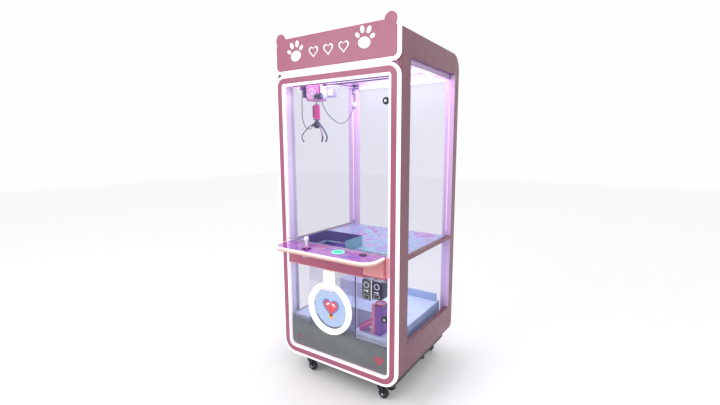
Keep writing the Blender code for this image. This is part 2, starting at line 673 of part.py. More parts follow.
def claw():
    centre = (CLAW_X, at_depth(CLAW_DEPTH), 0.0)
    profile = [
        (0.0, 1.6130), (0.0070, 1.6130), (0.0070, 1.6060), (0.0180, 1.6060), (0.0200, 1.6020),
        (0.0200, 1.5260), (0.0180, 1.5220), (0.0110, 1.5220), (0.0110, 1.5140), (0.0180, 1.5100),
        (0.0180, 1.4840), (0.0100, 1.4760), (0.0, 1.4760),
    ]
    turned("claw_body", centre, profile, MAGENTA, steps=20)
    tube("hoist_cord", [(CLAW_X, centre[1], z) for z in (CORD_TOP - GAP, 1.6190, 1.6130 + GAP)],
         0.0016, BLACK)
    pin, width, elbow = FINGER_PIVOT_Z, 0.0050, 0.0920
    outer = [(0.0222, pin + 0.005), (0.046, pin - 0.003), (0.082, pin - 0.043),
             (elbow, pin - 0.065), (0.080, pin - 0.095)]
    inner = [(0.0222, pin - 0.005), (0.040, pin - 0.013), (0.074, pin - 0.048),
             (elbow - 0.0085, pin - 0.065), (0.0745, pin - 0.0915)]
    for number in range(3):
        turn = radians(90 + 120 * number)
        finger = plate(f"claw_finger_{number + 1}", "Y", (-width, width), [outer + inner[::-1]], CHROME)
        spin = Matrix.Translation(centre) @ Matrix.Rotation(turn, 4, "Z")
        finger.matrix_world = spin @ Matrix.Rotation(pi / 2, 4, "X")
        place = spin @ Vector((FINGER_PIVOT_RADIUS, 0.0, FINGER_PIVOT_Z))
        pivot(f"finger_axis_{number + 1}", place, finger)


def smooth_route(points, per_span):
    """Points on a smooth curve through the route's own points."""
    route = [Vector(point) for point in points]
    made = [route[0]]
    for i in range(len(route) - 1):
        before = route[max(i - 1, 0)]
        after = route[min(i + 2, len(route) - 1)]
        first = route[i] + (route[i + 1] - before) / 6
        second = route[i + 1] - (after - route[i]) / 6
        made += interpolate_bezier(route[i], first, second, route[i + 1], per_span + 1)[1:]
    return made


# Each cable's route: X, depth from the side panels' front edges, Z
CLAW_CABLE = ((-0.2520, 0.072, 1.6950), (-0.2740, 0.072, 1.6930), (-0.2870, 0.072, 1.6700),
              (-0.2900, 0.072, 1.6000), (-0.2880, 0.072, 1.5300), (-0.2620, 0.072, 1.4800),
              (-0.2300, 0.072, 1.4760), (-0.2130, 0.072, 1.4900), (-0.2015, 0.072, 1.4970))
TROLLEY_CABLE = ((-0.1630, 0.100, 1.6240), (-0.1640, 0.101, 1.6150), (-0.1610, 0.112, 1.5930),
                 (-0.1605, 0.140, 1.5640), (-0.1650, 0.180, 1.5420))
POST_CABLE = ((-0.1655, 0.1835, 1.5410), (-0.1800, 0.270, 1.5150), (-0.2120, 0.380, 1.5280),
              (-0.2450, 0.480, 1.5690), (-0.2890, 0.570, 1.6130), (-0.3300, 0.640, 1.6450),
              (-0.3480, 0.672, 1.6550), (-0.3500, 0.6885, 1.6560))


def cables():
    rows = (("claw_cable", CLAW_CABLE), ("trolley_cable", TROLLEY_CABLE), ("post_cable", POST_CABLE))
    for name, route in rows:
        points = smooth_route([(x, at_depth(depth), z) for x, depth, z in route], 4)
        tube(name, points, 0.0022, BLACK)


def hinged_front():
    pieces = [*front_frame(), *front_glass(), *control_deck(), prize_ring()]
    pivot("front_axis", (-HALF, at_depth(-0.0120), 1.0), *pieces)
    prize_flap()
    lock("front_lock", UPPER_LOCK)
    coin_door()
    joystick()
    buttons()


side_panels()
rear_wall()
roof()
header()
base()
levelling_feet()
castors()
playfield()
prize_chute()
coin_safe()
hinged_front()
gantry()
claw()
cables()
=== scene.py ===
"""The looks of a claw crane machine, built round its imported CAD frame.

Metres, +Z up, the front facing -Y. A depth is counted along +Y from the side panels' front edges.
"""

import json
from math import acos, cos, pi, radians, sin

import bmesh
import bpy
from mathutils import Matrix, Vector
from mathutils.geometry import interpolate_bezier


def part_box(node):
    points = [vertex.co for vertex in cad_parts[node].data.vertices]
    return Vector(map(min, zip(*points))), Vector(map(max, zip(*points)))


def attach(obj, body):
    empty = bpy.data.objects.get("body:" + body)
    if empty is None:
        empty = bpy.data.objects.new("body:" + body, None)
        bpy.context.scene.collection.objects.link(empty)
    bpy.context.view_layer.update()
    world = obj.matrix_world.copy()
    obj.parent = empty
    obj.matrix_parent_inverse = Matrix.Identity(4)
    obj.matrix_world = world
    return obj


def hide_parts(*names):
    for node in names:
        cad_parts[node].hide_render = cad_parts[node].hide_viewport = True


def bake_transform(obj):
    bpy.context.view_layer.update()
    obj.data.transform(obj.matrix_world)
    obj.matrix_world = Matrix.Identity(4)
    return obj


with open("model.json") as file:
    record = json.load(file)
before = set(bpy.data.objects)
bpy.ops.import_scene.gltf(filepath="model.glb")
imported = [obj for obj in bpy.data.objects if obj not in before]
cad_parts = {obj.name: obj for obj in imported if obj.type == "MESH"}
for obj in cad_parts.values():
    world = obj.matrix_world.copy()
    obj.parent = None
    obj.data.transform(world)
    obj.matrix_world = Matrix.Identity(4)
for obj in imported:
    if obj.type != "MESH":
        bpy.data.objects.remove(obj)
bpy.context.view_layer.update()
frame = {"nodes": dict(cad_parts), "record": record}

RECORD = frame["record"]
BODY_OF = {node: body for body, nodes in RECORD["behaviour"]["bodies"].items() for node in nodes}
SLOT_OF = {part["node"]: part["material_slot"] for part in RECORD["subparts"]}

# Places worked out from the frame
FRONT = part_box("left_side_panel")[0].y
INNER = -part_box("left_side_panel")[1].x
DECK_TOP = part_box("control_deck")[1].z
RING_LOW, RING_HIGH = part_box("prize_door_ring")
RING_RADIUS = (RING_HIGH.x - RING_LOW.x) / 2
HEADER_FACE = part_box("header_panel")[0].y - FRONT
RING_X, RING_Z = (RING_LOW.x + RING_HIGH.x) / 2, RING_LOW.z + RING_RADIUS
FILM_TOP = 0.372                    # where the kick film has faded out
ROD_SPREAD, ROD_Z = 0.03, 1.715     # the bridge's two rods, either side of its middle
CLAW_PIN_Z = 1.495                  # the fingers' pins
FACING = 0.7                        # how far a normal leans to count as facing a way


def middle(node):
    low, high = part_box(node)
    return (low + high) / 2


def at_depth(depth):
    return FRONT + depth


def depths(node):
    """A node's nearest and farthest depth."""
    return [corner.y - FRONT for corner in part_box(node)]


# Camera, light and floor

CAMERA_PLACE = (1.2895, -1.9255, 1.378)
CAMERA_TURN, CAMERA_DIP = radians(32.755), radians(8.494)
CAMERA_LENS, CAMERA_SENSOR = 19.45, 36.0
CAMERA_SHIFT = (-0.0159, 0.0021)


def camera():
    data = bpy.data.cameras.new("camera")
    data.sensor_width = CAMERA_SENSOR
    data.lens = CAMERA_LENS
    data.shift_x, data.shift_y = CAMERA_SHIFT
    thing = bpy.data.objects.new("camera", data)
    thing.location = CAMERA_PLACE
    thing.rotation_euler = (pi / 2 - CAMERA_DIP, 0.0, CAMERA_TURN)
    bpy.context.scene.collection.objects.link(thing)
    bpy.context.scene.camera = thing


def lamp(name, place, target, size, power, colour):
    data = bpy.data.lights.new(name, "AREA")
    data.shape = "RECTANGLE"
    data.size, data.size_y = size
    data.energy = power
    data.color = colour
    thing = bpy.data.objects.new(name, data)
    thing.location = place
    thing.rotation_euler = (Vector(target) - Vector(place)).to_track_quat("-Z", "Y").to_euler()
    bpy.context.scene.collection.objects.link(thing)


def studio():
    world = bpy.data.worlds.new("studio")
    world.use_nodes = True
    sky = world.node_tree.nodes["Background"]
    sky.inputs["Color"].default_value = (0.99, 0.99, 1.0, 1.0)
    sky.inputs["Strength"].default_value = 1.0
    bpy.context.scene.world = world
    bpy.context.scene.view_settings.view_transform = "Standard"
    centre = (0.0, 0.0, 1.0)
    lamp("key", (-1.6, -3.4, 3.2), centre, (2.6, 2.6), 45.0, (1.0, 0.98, 0.97))
    lamp("fill", (3.4, -1.2, 2.4), centre, (2.4, 2.4), 12.0, (0.97, 0.98, 1.0))
    inside = (0.96, 0.8, 1.0)
    for name, y in (("inside_front", at_depth(0.06)), ("inside_rear", at_depth(0.62))):
        lamp(name, (0.0, y, 1.79), (0.0, y, 0.8), (0.6, 0.06), 3.0, inside)
        lamp(f"{name}_up", (0.0, y, 1.73), (0.0, y, 1.9), (0.6, 0.06), 1.5, inside)
    lamp("under_playfield", (0.0, at_depth(0.36), 0.78), (0.0, at_depth(0.36), 0.2), (0.6, 0.5), 3.0,
         (0.8, 0.86, 1.0))


def floor():
    body = bmesh.new()
    bmesh.ops.create_grid(body, x_segments=1, y_segments=1, size=14.0)
    thing = from_body("studio_floor", body, paint("floor_paper", (250, 250, 250), 0.9, spread=0.01))
    thing.location.z = -0.0005


# Materials

def srgb(red, green, blue):
    """Linear colour from the usual 0 to 255 values."""
    def linear(value):
        share = value / 255
        return share / 12.92 if share <= 0.04045 else ((share + 0.055) / 1.055) ** 2.4
    return (linear(red), linear(green), linear(blue))


class Look:
    """A node material in the making, with object coordinates as its pattern space."""

    def __init__(self, name, roughness=0.5, metallic=0.0):
        self.material = bpy.data.materials.new(name)
        self.material.use_nodes = True
        self.tree = self.material.node_tree
        self.shader = self.tree.nodes["Principled BSDF"]
        self.set("Roughness", roughness)
        self.set("Metallic", metallic)
        self.space = self.tree.nodes.new("ShaderNodeTexCoord").outputs["Object"]

    def set(self, socket, value):
        self.shader.inputs[socket].default_value = value

    def link(self, source, socket):
        self.tree.links.new(source, self.shader.inputs[socket])

    def node(self, kind, source, socket, **values):
        """A node fed by source; the names of its values have _ for a space."""
        made = self.tree.nodes.new(f"ShaderNode{kind}")
        for name, value in values.items():
            made.inputs[name.replace("_", " ")].default_value = value
        self.tree.links.new(source, made.inputs[socket])
        return made

    def noise(self, scale, detail=3.0, stretch=None, distortion=0.0):
        space = self.space
        if stretch:
            space = self.node("Mapping", space, "Vector", Scale=stretch).outputs["Vector"]
        noise = self.node("TexNoise", space, "Vector", Scale=scale, Detail=detail, Distortion=distortion)
        return noise.outputs["Fac"]

    def along(self, axis, start, end):
        """0 at start to 1 at end along X, Y or Z."""
        place = self.node("SeparateXYZ", self.space, "Vector").outputs[axis]
        return self.node("MapRange", place, "Value", From_Min=start, From_Max=end).outputs["Result"]

    def ranged(self, noise, low, high):
        """A noise's usual span, spread from low to high."""
        spread = {"From_Min": 0.3, "From_Max": 0.7, "To_Min": low, "To_Max": high}
        return self.node("MapRange", noise, "Value", **spread).outputs["Result"]

    def ramp(self, factor, stops):
        """Colours along a factor: (place, colour), or (place, grey)."""
        node = self.node("ValToRGB", factor, "Fac")
        bar = node.color_ramp.elements
        while len(bar) < len(stops):
            bar.new(0.5)
        for element, (place, colour) in zip(bar, stops):
            element.position = place
            tint = colour if isinstance(colour, tuple) else (colour, colour, colour)
            element.color = (*tint, 1.0)
        return node.outputs["Color"]

    def mixed(self, first, second, factor):
        node = self.tree.nodes.new("ShaderNodeMix")
        node.data_type = "RGBA"
        for source, socket in ((factor, "Factor"), (first, "A"), (second, "B")):
            self.tree.links.new(source, node.inputs[socket])
        return node.outputs["Result"]

    def bump(self, height, strength, distance=0.001):
        node = self.node("Bump", height, "Height", Strength=strength, Distance=distance)
        self.link(node.outputs["Normal"], "Normal")


def spread_stops(colour, spread):
    """A colour's darker and lighter ends, for a ramp over noise."""
    return [(0.3, tuple(c * (1 - spread) for c in colour)),
            (0.7, tuple(min(1.0, c * (1 + spread)) for c in colour))]


def shades(*rows):
    """Ramp stops out of (place, red, green, blue)."""
    return [(place, srgb(*colour)) for place, *colour in rows]


def paint(name, colour, roughness, metallic=0.0, spread=0.06, grain=900.0, relief=0.04, coat=0.0):
    """Painted, plated or moulded: slow colour drift, mottled gloss and a fine surface grain."""
    look = Look(name, roughness, metallic)
    look.link(look.ramp(look.noise(7.0), spread_stops(srgb(*colour), spread)), "Base Color")
    look.link(look.ranged(look.noise(38.0), roughness * 0.82, min(1.0, roughness * 1.18)), "Roughness")
    look.bump(look.noise(grain, 2.0), relief, 0.0004)
    look.set("Coat Weight", coat)
    look.set("Coat Roughness", 0.12)
    return look.material


def powder_coat(name, colour, worn):
    """Powder coat: orange peel, a slow drift, and a paler tone where edges are handled."""
    look = Look(name, 0.34)
    drift = look.ramp(look.noise(3.2, 4.0), spread_stops(srgb(*colour), 0.07))
    pale = look.ramp(look.noise(160.0, 2.0), spread_stops(srgb(*worn), 0.05))
    geometry = look.tree.nodes.new("ShaderNodeNewGeometry")
    edge = look.ramp(geometry.outputs["Pointiness"], [(0.515, 0.0), (0.58, 0.35)])
    look.link(look.mixed(drift, pale, edge), "Base Color")
    look.link(look.ranged(look.noise(24.0), 0.28, 0.42), "Roughness")
    look.bump(look.noise(420.0, 1.0), 0.1, 0.0004)
    look.set("Coat Weight", 0.25)
    look.set("Coat Roughness", 0.18)
    return look.material


def brushed(name, colour, roughness, stretch):
    """Brushed metal, with its scratches along one axis."""
    look = Look(name, roughness, 1.0)
    lines = look.noise(90.0, 5.0, stretch)
    look.link(look.ramp(lines, spread_stops(srgb(*colour), 0.12)), "Base Color")
    look.link(look.ranged(lines, roughness * 0.75, roughness * 1.3), "Roughness")
    look.bump(lines, 0.08, 0.0003)
    return look.material


def lit(name, colour, body, strength):
    """A lit silicone tube: a soft body with light in it, a little uneven along its length."""
    look = Look(name, 0.42)
    look.link(look.ramp(look.noise(55.0), spread_stops(body, 0.03)), "Base Color")
    look.link(look.ramp(look.noise(16.0, 1.0), spread_stops(colour, 0.04)), "Emission Color")
    look.set("Emission Strength", strength)
    look.link(look.ranged(look.noise(120.0), 0.36, 0.5), "Roughness")
    return look.material


def pane(name, colour, alpha, roughness=0.04):
    """Clear sheet: a faint tint, with a little haze in its gloss."""
    look = Look(name, roughness)
    look.link(look.ramp(look.noise(2.5), spread_stops(srgb(*colour), 0.03)), "Base Color")
    look.link(look.ranged(look.noise(9.0, 5.0), roughness * 0.7, roughness * 1.6), "Roughness")
    look.set("Alpha", alpha)
    look.set("IOR", 1.5)
    look.set("Specular IOR Level", 0.22)
    return look.material


def deck_print():
    """The deck's printed top: violet cloud with magenta, lilac and blue drifts under gloss."""
    look = Look("deck_print", 0.12)
    drift = look.noise(5.5, 3.0, (1.0, 2.2, 1.0), 1.6)
    cloud = look.ramp(drift, shades((0.3, 52, 66, 186), (0.39, 130, 50, 174), (0.49, 180, 96, 190),
                                    (0.57, 156, 46, 164), (0.7, 190, 36, 140)))
    glow = look.ramp(look.noise(11.0, 2.0, (1.0, 3.0, 1.0), 0.8),
                     shades((0.35, 164, 86, 186), (0.65, 130, 42, 156)))
    look.link(look.mixed(cloud, glow, look.ramp(look.noise(3.0), [(0.4, 0.1), (0.6, 0.6)])), "Base Color")
    look.link(look.ranged(look.noise(30.0), 0.09, 0.2), "Roughness")
    look.set("Coat Weight", 0.6)
    look.set("Coat Roughness", 0.05)
    return look.material


def prize_mat():
    """The prize floor: a pearly printed sheet of grey-lilac, blue and teal."""
    look = Look("prize_mat", 0.22)
    swirl = look.noise(4.2, 4.0, (1.0, 1.4, 1.0), 2.2)
    look.link(look.ramp(swirl, shades(
        (0.28, 110, 116, 190), (0.37, 166, 176, 220), (0.44, 160, 138, 208), (0.5, 116, 204, 208),
        (0.56, 178, 166, 216), (0.64, 176, 92, 184), (0.74, 126, 90, 182))), "Base Color")
    look.link(look.ranged(look.noise(26.0), 0.16, 0.3), "Roughness")
    look.bump(look.noise(300.0, 2.0), 0.05, 0.0003)
    return look.material


def chute_plastic():
    """The prize chute's sheet: nearly clear below; towards the top it turns deep violet and opaque, painted
    shade under the playfield.
    """
    look = Look("chute_acrylic", 0.14)
    up = look.along("Z", 0.715, 0.77)
    # Painted shade: violet and blue tones mixed in towards the top.
    shade = look.ramp(look.noise(14.0, 3.0),
                      shades((0.35, 52, 42, 128), (0.5, 112, 60, 160), (0.62, 70, 84, 176)))
    clear = look.ramp(look.noise(6.0), spread_stops(srgb(222, 220, 246), 0.05))
    look.link(look.mixed(clear, shade, up), "Base Color")
    look.link(look.ramp(up, [(0.0, 0.1), (1.0, 0.94)]), "Alpha")
    look.link(look.ranged(look.noise(24.0), 0.1, 0.2), "Roughness")
    look.set("Specular IOR Level", 0.25)
    return look.material


def fading_film():
    """The kick film: grey-green, solid below and fading out at its top edge."""
    look = Look("kick_film", 0.35)
    tone = look.ramp(look.along("Z", 0.165, 0.33),
                     shades((0.0, 170, 162, 140), (0.3, 118, 128, 104), (1.0, 128, 140, 126)))
    cloud = look.ramp(look.noise(9.0, 3.0), shades((0.3, 110, 122, 100), (0.7, 140, 146, 122)))
    patches = look.ramp(look.noise(5.0), [(0.3, 0.25), (0.7, 0.55)])
    look.link(look.mixed(tone, cloud, patches), "Base Color")
    fade = [(0.0, 0.86), (0.55, 0.78), (0.85, 0.3), (1.0, 0.0)]
    look.link(look.ramp(look.along("Z", 0.24, FILM_TOP), fade), "Alpha")
    return look.material


def deck_light_with_painted_shade():
    """The deck's edge light: white along its top, its glow and body darker peach below as painted shade."""
    look = Look("deck_edge_light", 0.38)
    low, high = (corner.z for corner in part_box("deck_light"))
    # Glow: white along the top, falling to peach and dark below; the lower part is painted shade.
    glow = look.ramp(look.along("Z", low, high), [
        (0.0, (0.0, 0.0, 0.0)), (0.5, srgb(120, 84, 80)), (0.7, srgb(255, 226, 226)),
        (0.84, (1.0, 0.96, 0.98)),
    ])
    look.link(glow, "Emission Color")
    # Body colour lighter at the top and darker below: painted shade.
    body = look.ramp(look.along("Z", low, high),
                     shades((0.0, 176, 140, 132), (0.5, 222, 184, 172), (0.8, 250, 236, 238)))
    speck = look.ramp(look.noise(60.0), shades((0.3, 190, 156, 148), (0.7, 232, 208, 204)))
    look.link(look.mixed(body, speck, look.ramp(look.noise(8.0), [(0.3, 0.1), (0.7, 0.25)])), "Base Color")
    look.set("Emission Strength", 0.5)
    return look.material


PINK = powder_coat("pink_powder_coat", (156, 76, 106), (192, 126, 150))
# A browner, darker copy of the pink coat; its darkness is painted shade for the side panels and roof box.
SHADED_SIDE_PINK = powder_coat("side_powder_coat_painted_shade", (104, 48, 64), (146, 86, 104))
APRON_PINK = powder_coat("apron_powder_coat", (166, 70, 102), (196, 116, 138))
SALMON = powder_coat("coin_hood_coat", (214, 132, 136), (240, 180, 172))
LILAC = powder_coat("lilac_powder_coat", (212, 180, 218), (230, 206, 234))
PALE = powder_coat("pale_inner_coat", (238, 230, 246), (244, 238, 250))
NEON = lit("pink_white_neon", (1.0, 0.86, 0.93), (0.93, 0.82, 0.88), 0.42)
RING_NEON = lit("cream_neon", (1.0, 1.0, 0.9), (0.93, 0.93, 0.86), 0.42)
# Lilac LED glow: real for the ceiling tubes, painted light on the rear corner strips.
LILAC_LED_AND_PAINTED_GLOW = lit("lilac_led_and_painted_glow", (0.93, 0.62, 1.0), (0.8, 0.6, 0.9), 0.6)
GLASS = pane("lavender_glass", (134, 136, 176), 0.11)
SIDE_GLASS = pane("side_glass", (150, 154, 190), 0.09)
TEAL_PANE = pane("teal_lit_acrylic", (138, 208, 216), 0.74, 0.16)
SMOKED = pane("smoked_acrylic", (64, 38, 116), 0.86, 0.16)
CHUTE_PLASTIC = chute_plastic()
DECK_PRINT = deck_print()
DECK_EDGE = deck_light_with_painted_shade()
MAT = prize_mat()
FILM = fading_film()
WHITE = paint("white_laminate", (202, 212, 240), 0.3, spread=0.04)
# A greyer blue copy of the white laminate: painted shade for the platform's sides and back board.
SHADED_PLATFORM_SIDE = paint("blue_grey_laminate_painted_shade", (150, 168, 202), 0.35, spread=0.16)
BLACK = paint("black_plastic", (34, 32, 40), 0.42, spread=0.15, relief=0.08)
SATIN_BLACK = paint("satin_black_metal", (46, 42, 54), 0.32, 0.6, spread=0.15)
RUBBER = paint("castor_rubber", (40, 40, 44), 0.72, spread=0.12, grain=500.0, relief=0.12)
STEEL = brushed("zinc_steel", (176, 178, 186), 0.34, (1.0, 12.0, 1.0))
CHROME = brushed("polished_chrome", (216, 216, 224), 0.12, (6.0, 1.0, 1.0))
DARK_STEEL = brushed("claw_steel", (96, 92, 106), 0.3, (1.0, 1.0, 8.0))
MAGENTA = paint("magenta_enamel", (190, 8, 112), 0.24, spread=0.18, coat=0.3)
ROSE = paint("rose_plastic", (196, 124, 178), 0.34, spread=0.12)
VIOLET = paint("violet_plastic", (118, 48, 158), 0.34, spread=0.16)
SHELL = paint("pearl_plastic", (220, 184, 216), 0.34, spread=0.08)
PLUM = paint("plum_plastic", (74, 40, 112), 0.4, spread=0.14)
BLUE_BOX = paint("pale_blue_plastic", (176, 186, 226), 0.4, spread=0.1)
WHITE_PLASTIC = paint("white_plastic", (232, 228, 240), 0.3, spread=0.04)
COIN_PINK = paint("coin_box_enamel", (204, 116, 140), 0.3, spread=0.1)
COIN_MAGENTA = paint("coin_tray_enamel", (168, 34, 132), 0.3, spread=0.16)
FLAP = pane("flap_acrylic", (186, 208, 240), 0.82, 0.12)
MOTIF_WHITE = paint("white_vinyl", (250, 246, 250), 0.3, spread=0.02)
MOTIF_CORAL = paint("coral_vinyl", (222, 82, 92), 0.3, spread=0.05)
MOTIF_BLUE = paint("blue_vinyl", (96, 118, 190), 0.3, spread=0.05)
FILM_CORAL = paint("film_coral", (188, 66, 62), 0.36, spread=0.12)
FILM_ROSE = paint("film_rose", (132, 62, 72), 0.36, spread=0.12)
MOTIF_AMBER = paint("amber_vinyl", (240, 176, 74), 0.3, spread=0.05)
TEAL_GLOW = lit("teal_button_cap", (0.0, 1.0, 0.6), (0.0, 0.3, 0.17), 0.5)
TEAL_HALO = lit("pale_teal_bezel", (0.34, 1.0, 0.8), (0.3, 0.66, 0.56), 0.36)
CABLE = paint("cable_sheath", (70, 66, 80), 0.5, spread=0.1)
MECH_GREY = paint("coin_unit_grey", (74, 82, 80), 0.38, 0.3, spread=0.2)
MECH_NAVY = paint("coin_unit_navy", (30, 28, 56), 0.36, 0.2, spread=0.2)
GREY_PLASTIC = paint("grey_plastic", (186, 184, 212), 0.42, spread=0.08)


# Shapes

def from_body(name, body, look):
    mesh = bpy.data.meshes.new(name)
    body.to_mesh(mesh)
    body.free()
    thing = bpy.data.objects.new(name, mesh)
    bpy.context.scene.collection.objects.link(thing)
    mesh.materials.append(look)
    return thing


def smooth(thing, angle):
    """Shades smooth, except across edges sharper than the angle in degrees."""
    thing.data.shade_smooth()
    thing.data.set_sharp_from_angle(angle=radians(angle))
    return thing


def without_normals(mesh):
    if "custom_normal" in mesh.attributes:
        mesh.attributes.remove(mesh.attributes["custom_normal"])


def edged(thing, width, segments=2):
    """Rounds every edge sharper than 30 degrees."""
    thing.data.shade_smooth()
    if width > 0.0:
        bevel = thing.modifiers.new("rounded_edges", "BEVEL")
        bevel.width = width
        bevel.segments = segments
        bevel.limit_method = "ANGLE"
        bevel.angle_limit = radians(30)
        bevel.harden_normals = True
    return thing


def rounded(corners, steps=6):
    """The outline through these (u, v, radius) corners, each rounded by an arc."""
    outline = []
    count = len(corners)
    for index, (u, v, radius) in enumerate(corners):
        corner = Vector((u, v))
        if radius <= 0.0:
            outline.append((u, v))
            continue
        before = (Vector(corners[index - 1][:2]) - corner).normalized()
        after = (Vector(corners[(index + 1) % count][:2]) - corner).normalized()
        half_angle = before.angle(after) / 2
        centre = corner + (before + after).normalized() * radius / sin(half_angle)
        reach = radius * cos(half_angle) / sin(half_angle)
        start, end = corner + before * reach - centre, corner + after * reach - centre
        turn = -start.angle_signed(end)
        for step in range(steps + 1):
            spin = Matrix.Rotation(turn * step / steps, 2)
            outline.append(tuple(centre + spin @ start))
    return outline


def rectangle(us, vs, radius=0.0, steps=6):
    return rounded([(us[0], vs[0], radius), (us[1], vs[0], radius),
                    (us[1], vs[1], radius), (us[0], vs[1], radius)], steps)


def circle(u, v, radius, sides=32):
    return [(u + radius * cos(2 * pi * i / sides), v + radius * sin(2 * pi * i / sides))
            for i in range(sides)]


WELD = 0.00002
TURNS = {
    "X": Matrix(((0, 0, 1), (1, 0, 0), (0, 1, 0))),     # outline (depth, z)
    "Y": Matrix(((1, 0, 0), (0, 0, -1), (0, 1, 0))),    # outline (x, z)
    "Z": Matrix.Identity(3),                            # outline (x, depth)
}


def meshed(curve, runs, closed):
    """A curve object's mesh, along straight runs of (x, y, z) points, as a bmesh."""
    for run in runs:
        spline = curve.splines.new("POLY")
        spline.points.add(len(run) - 1)
        for point, place in zip(spline.points, run):
            point.co = (*place, 1.0)
        spline.use_cyclic_u = closed
    holder = bpy.data.objects.new(curve.name, curve)
    mesh = bpy.data.meshes.new_from_object(holder)
    bpy.data.objects.remove(holder)
    body = bmesh.new()
    body.from_mesh(mesh)
    bpy.data.meshes.remove(mesh)
    bmesh.ops.remove_doubles(body, verts=body.verts, dist=WELD)
    return body


def slab(name, axis, span, outlines, look, edge=0.001, segments=2):
    """A flat outline, then any holes in it, as thick as span along X, depth or Z."""
    curve = bpy.data.curves.new(name, "CURVE")
    curve.dimensions = "2D"
    curve.fill_mode = "BOTH"
    curve.extrude = (span[1] - span[0]) / 2
    body = meshed(curve, [[(u, v, 0.0) for u, v in outline] for outline in outlines], True)
    bmesh.ops.dissolve_limit(body, angle_limit=radians(1), verts=body.verts, edges=body.edges)
    centre = (span[0] + span[1]) / 2
    offset = {"X": (centre, FRONT, 0.0), "Y": (0.0, FRONT + centre, 0.0), "Z": (0.0, FRONT, centre)}
    move = Matrix.Translation(offset[axis]) @ TURNS[axis].to_4x4()
    bmesh.ops.transform(body, matrix=move, verts=body.verts)
    bmesh.ops.recalc_face_normals(body, faces=body.faces)
    return edged(from_body(name, body, look), edge, segments)


def block(name, xs, depths, zs, look, edge=0.001, segments=2):
    """A box with rounded edges between two X, two depths and two Z."""
    body = bmesh.new()
    bmesh.ops.create_cube(body, size=1.0)
    ys = [at_depth(d) for d in depths]
    for vert in body.verts:
        vert.co = [low + (high - low) * (share + 0.5) for share, (low, high) in zip(vert.co, (xs, ys, zs))]
    return edged(from_body(name, body, look), edge, segments)


def lathe(name, centre, profile, look, axis="Z", steps=32):
    """A (radius, height) profile turned about an axis through centre; heights run along it."""
    body = bmesh.new()
    points = [body.verts.new((radius, 0.0, height)) for radius, height in profile]
    edges = [body.edges.new(pair) for pair in zip(points, points[1:])]
    bmesh.ops.spin(body, geom=points + edges, cent=(0, 0, 0), axis=(0, 0, 1), angle=2 * pi, steps=steps)
    bmesh.ops.remove_doubles(body, verts=body.verts, dist=WELD)
    spins = {"X": Matrix.Rotation(pi / 2, 4, "Y"), "Y": Matrix.Rotation(pi / 2, 4, "X"),
             "Z": Matrix.Identity(4)}
    move = Matrix.Translation(centre) @ spins[axis]
    bmesh.ops.transform(body, matrix=move, verts=body.verts)
    bmesh.ops.recalc_face_normals(body, faces=body.faces)
    return smooth(from_body(name, body, look), 38)


def rod(name, start, end, radius, look, sides=20, edge=0.0006):
    """A round bar with eased ends."""
    start, end = Vector(start), Vector(end)
    length = (end - start).length
    profile = [(0.0, length), (radius - edge, length), (radius, length - edge), (radius, edge),
               (radius - edge, 0.0), (0.0, 0.0)]
    thing = lathe(name, (0.0, 0.0, 0.0), profile, look, steps=sides)
    turn = (end - start).to_track_quat("Z", "Y").to_matrix().to_4x4()
    thing.data.transform(Matrix.Translation(start) @ turn)
    return thing


def wire(name, points, radius, look, resolution=3):
    """A round wire through these points, as a mesh."""
    curve = bpy.data.curves.new(name, "CURVE")
    curve.dimensions = "3D"
    curve.bevel_depth = radius
    curve.bevel_resolution = resolution
    curve.use_fill_caps = True
    return smooth(from_body(name, meshed(curve, [points], False), look), 50)


def curved(points, per_span=6):
    """Points on a smooth curve through the route's own points."""
    route = [Vector(point) for point in points]
    made = [route[0]]
    for i in range(len(route) - 1):
        before, after = route[max(i - 1, 0)], route[min(i + 2, len(route) - 1)]
        first = route[i] + (route[i + 1] - before) / 6
        second = route[i + 1] - (after - route[i]) / 6
        made += interpolate_bezier(route[i], first, second, route[i + 1], per_span + 1)[1:]
    return made


def gathered(name, things):
    """One piece made of several shapes, each keeping its own material."""
    bpy.context.view_layer.update()
    graph = bpy.context.evaluated_depsgraph_get()
    body = bmesh.new()
    looks = []
    for thing in things:
        mesh = bpy.data.meshes.new_from_object(thing.evaluated_get(graph))
        mesh.transform(thing.matrix_world)
        first = len(body.faces)
        body.from_mesh(mesh)
        body.faces.ensure_lookup_table()
        for face in body.faces[first:]:
            look = mesh.materials[min(face.material_index, len(mesh.materials) - 1)]
            if look not in looks:
                looks.append(look)
            face.material_index = looks.index(look)
        bpy.data.meshes.remove(mesh)
    for thing in things:
        bpy.data.objects.remove(thing, do_unlink=True)
    made = from_body(name, body, looks[0])
    for look in looks[1:]:
        made.data.materials.append(look)
    without_normals(made.data)
    return smooth(made, 34)


def show(thing, body, slot, *nodes):
    """Rides a finished piece on its body and hides the nodes that it stands for; its slot is not used."""
    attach(thing, body)
    if nodes:
        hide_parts(*nodes)
    return thing


def added(name, things, body, slot):
    """A piece of its own, which stands for no node."""
    show(gathered(name, things), body, slot)


def stand_in(things, node, name=None):
    """A piece made of things that stands for a node, on its body."""
    show(gathered(name or f"{node}_finished", things), BODY_OF[node], SLOT_OF[node], node)


def repainted(thing, look, chosen):
    """Gives the faces that chosen says yes to another material."""
    thing.data.materials.append(look)
    for face in thing.data.polygons:
        if chosen(face):
            face.material_index = len(thing.data.materials) - 1


def softened(node, look, edge=0.001, segments=2):
    """A copy of a node with rounded edges, which stands for it."""
    body = bmesh.new()
    body.from_mesh(frame["nodes"][node].data)
    bmesh.ops.remove_doubles(body, verts=body.verts, dist=WELD)
    bmesh.ops.dissolve_limit(body, angle_limit=radians(1), verts=body.verts, edges=body.edges)
    thing = from_body(f"{node}_finished", body, look)
    without_normals(thing.data)
    edged(thing, edge, segments)
    return show(thing, BODY_OF[node], SLOT_OF[node], node)


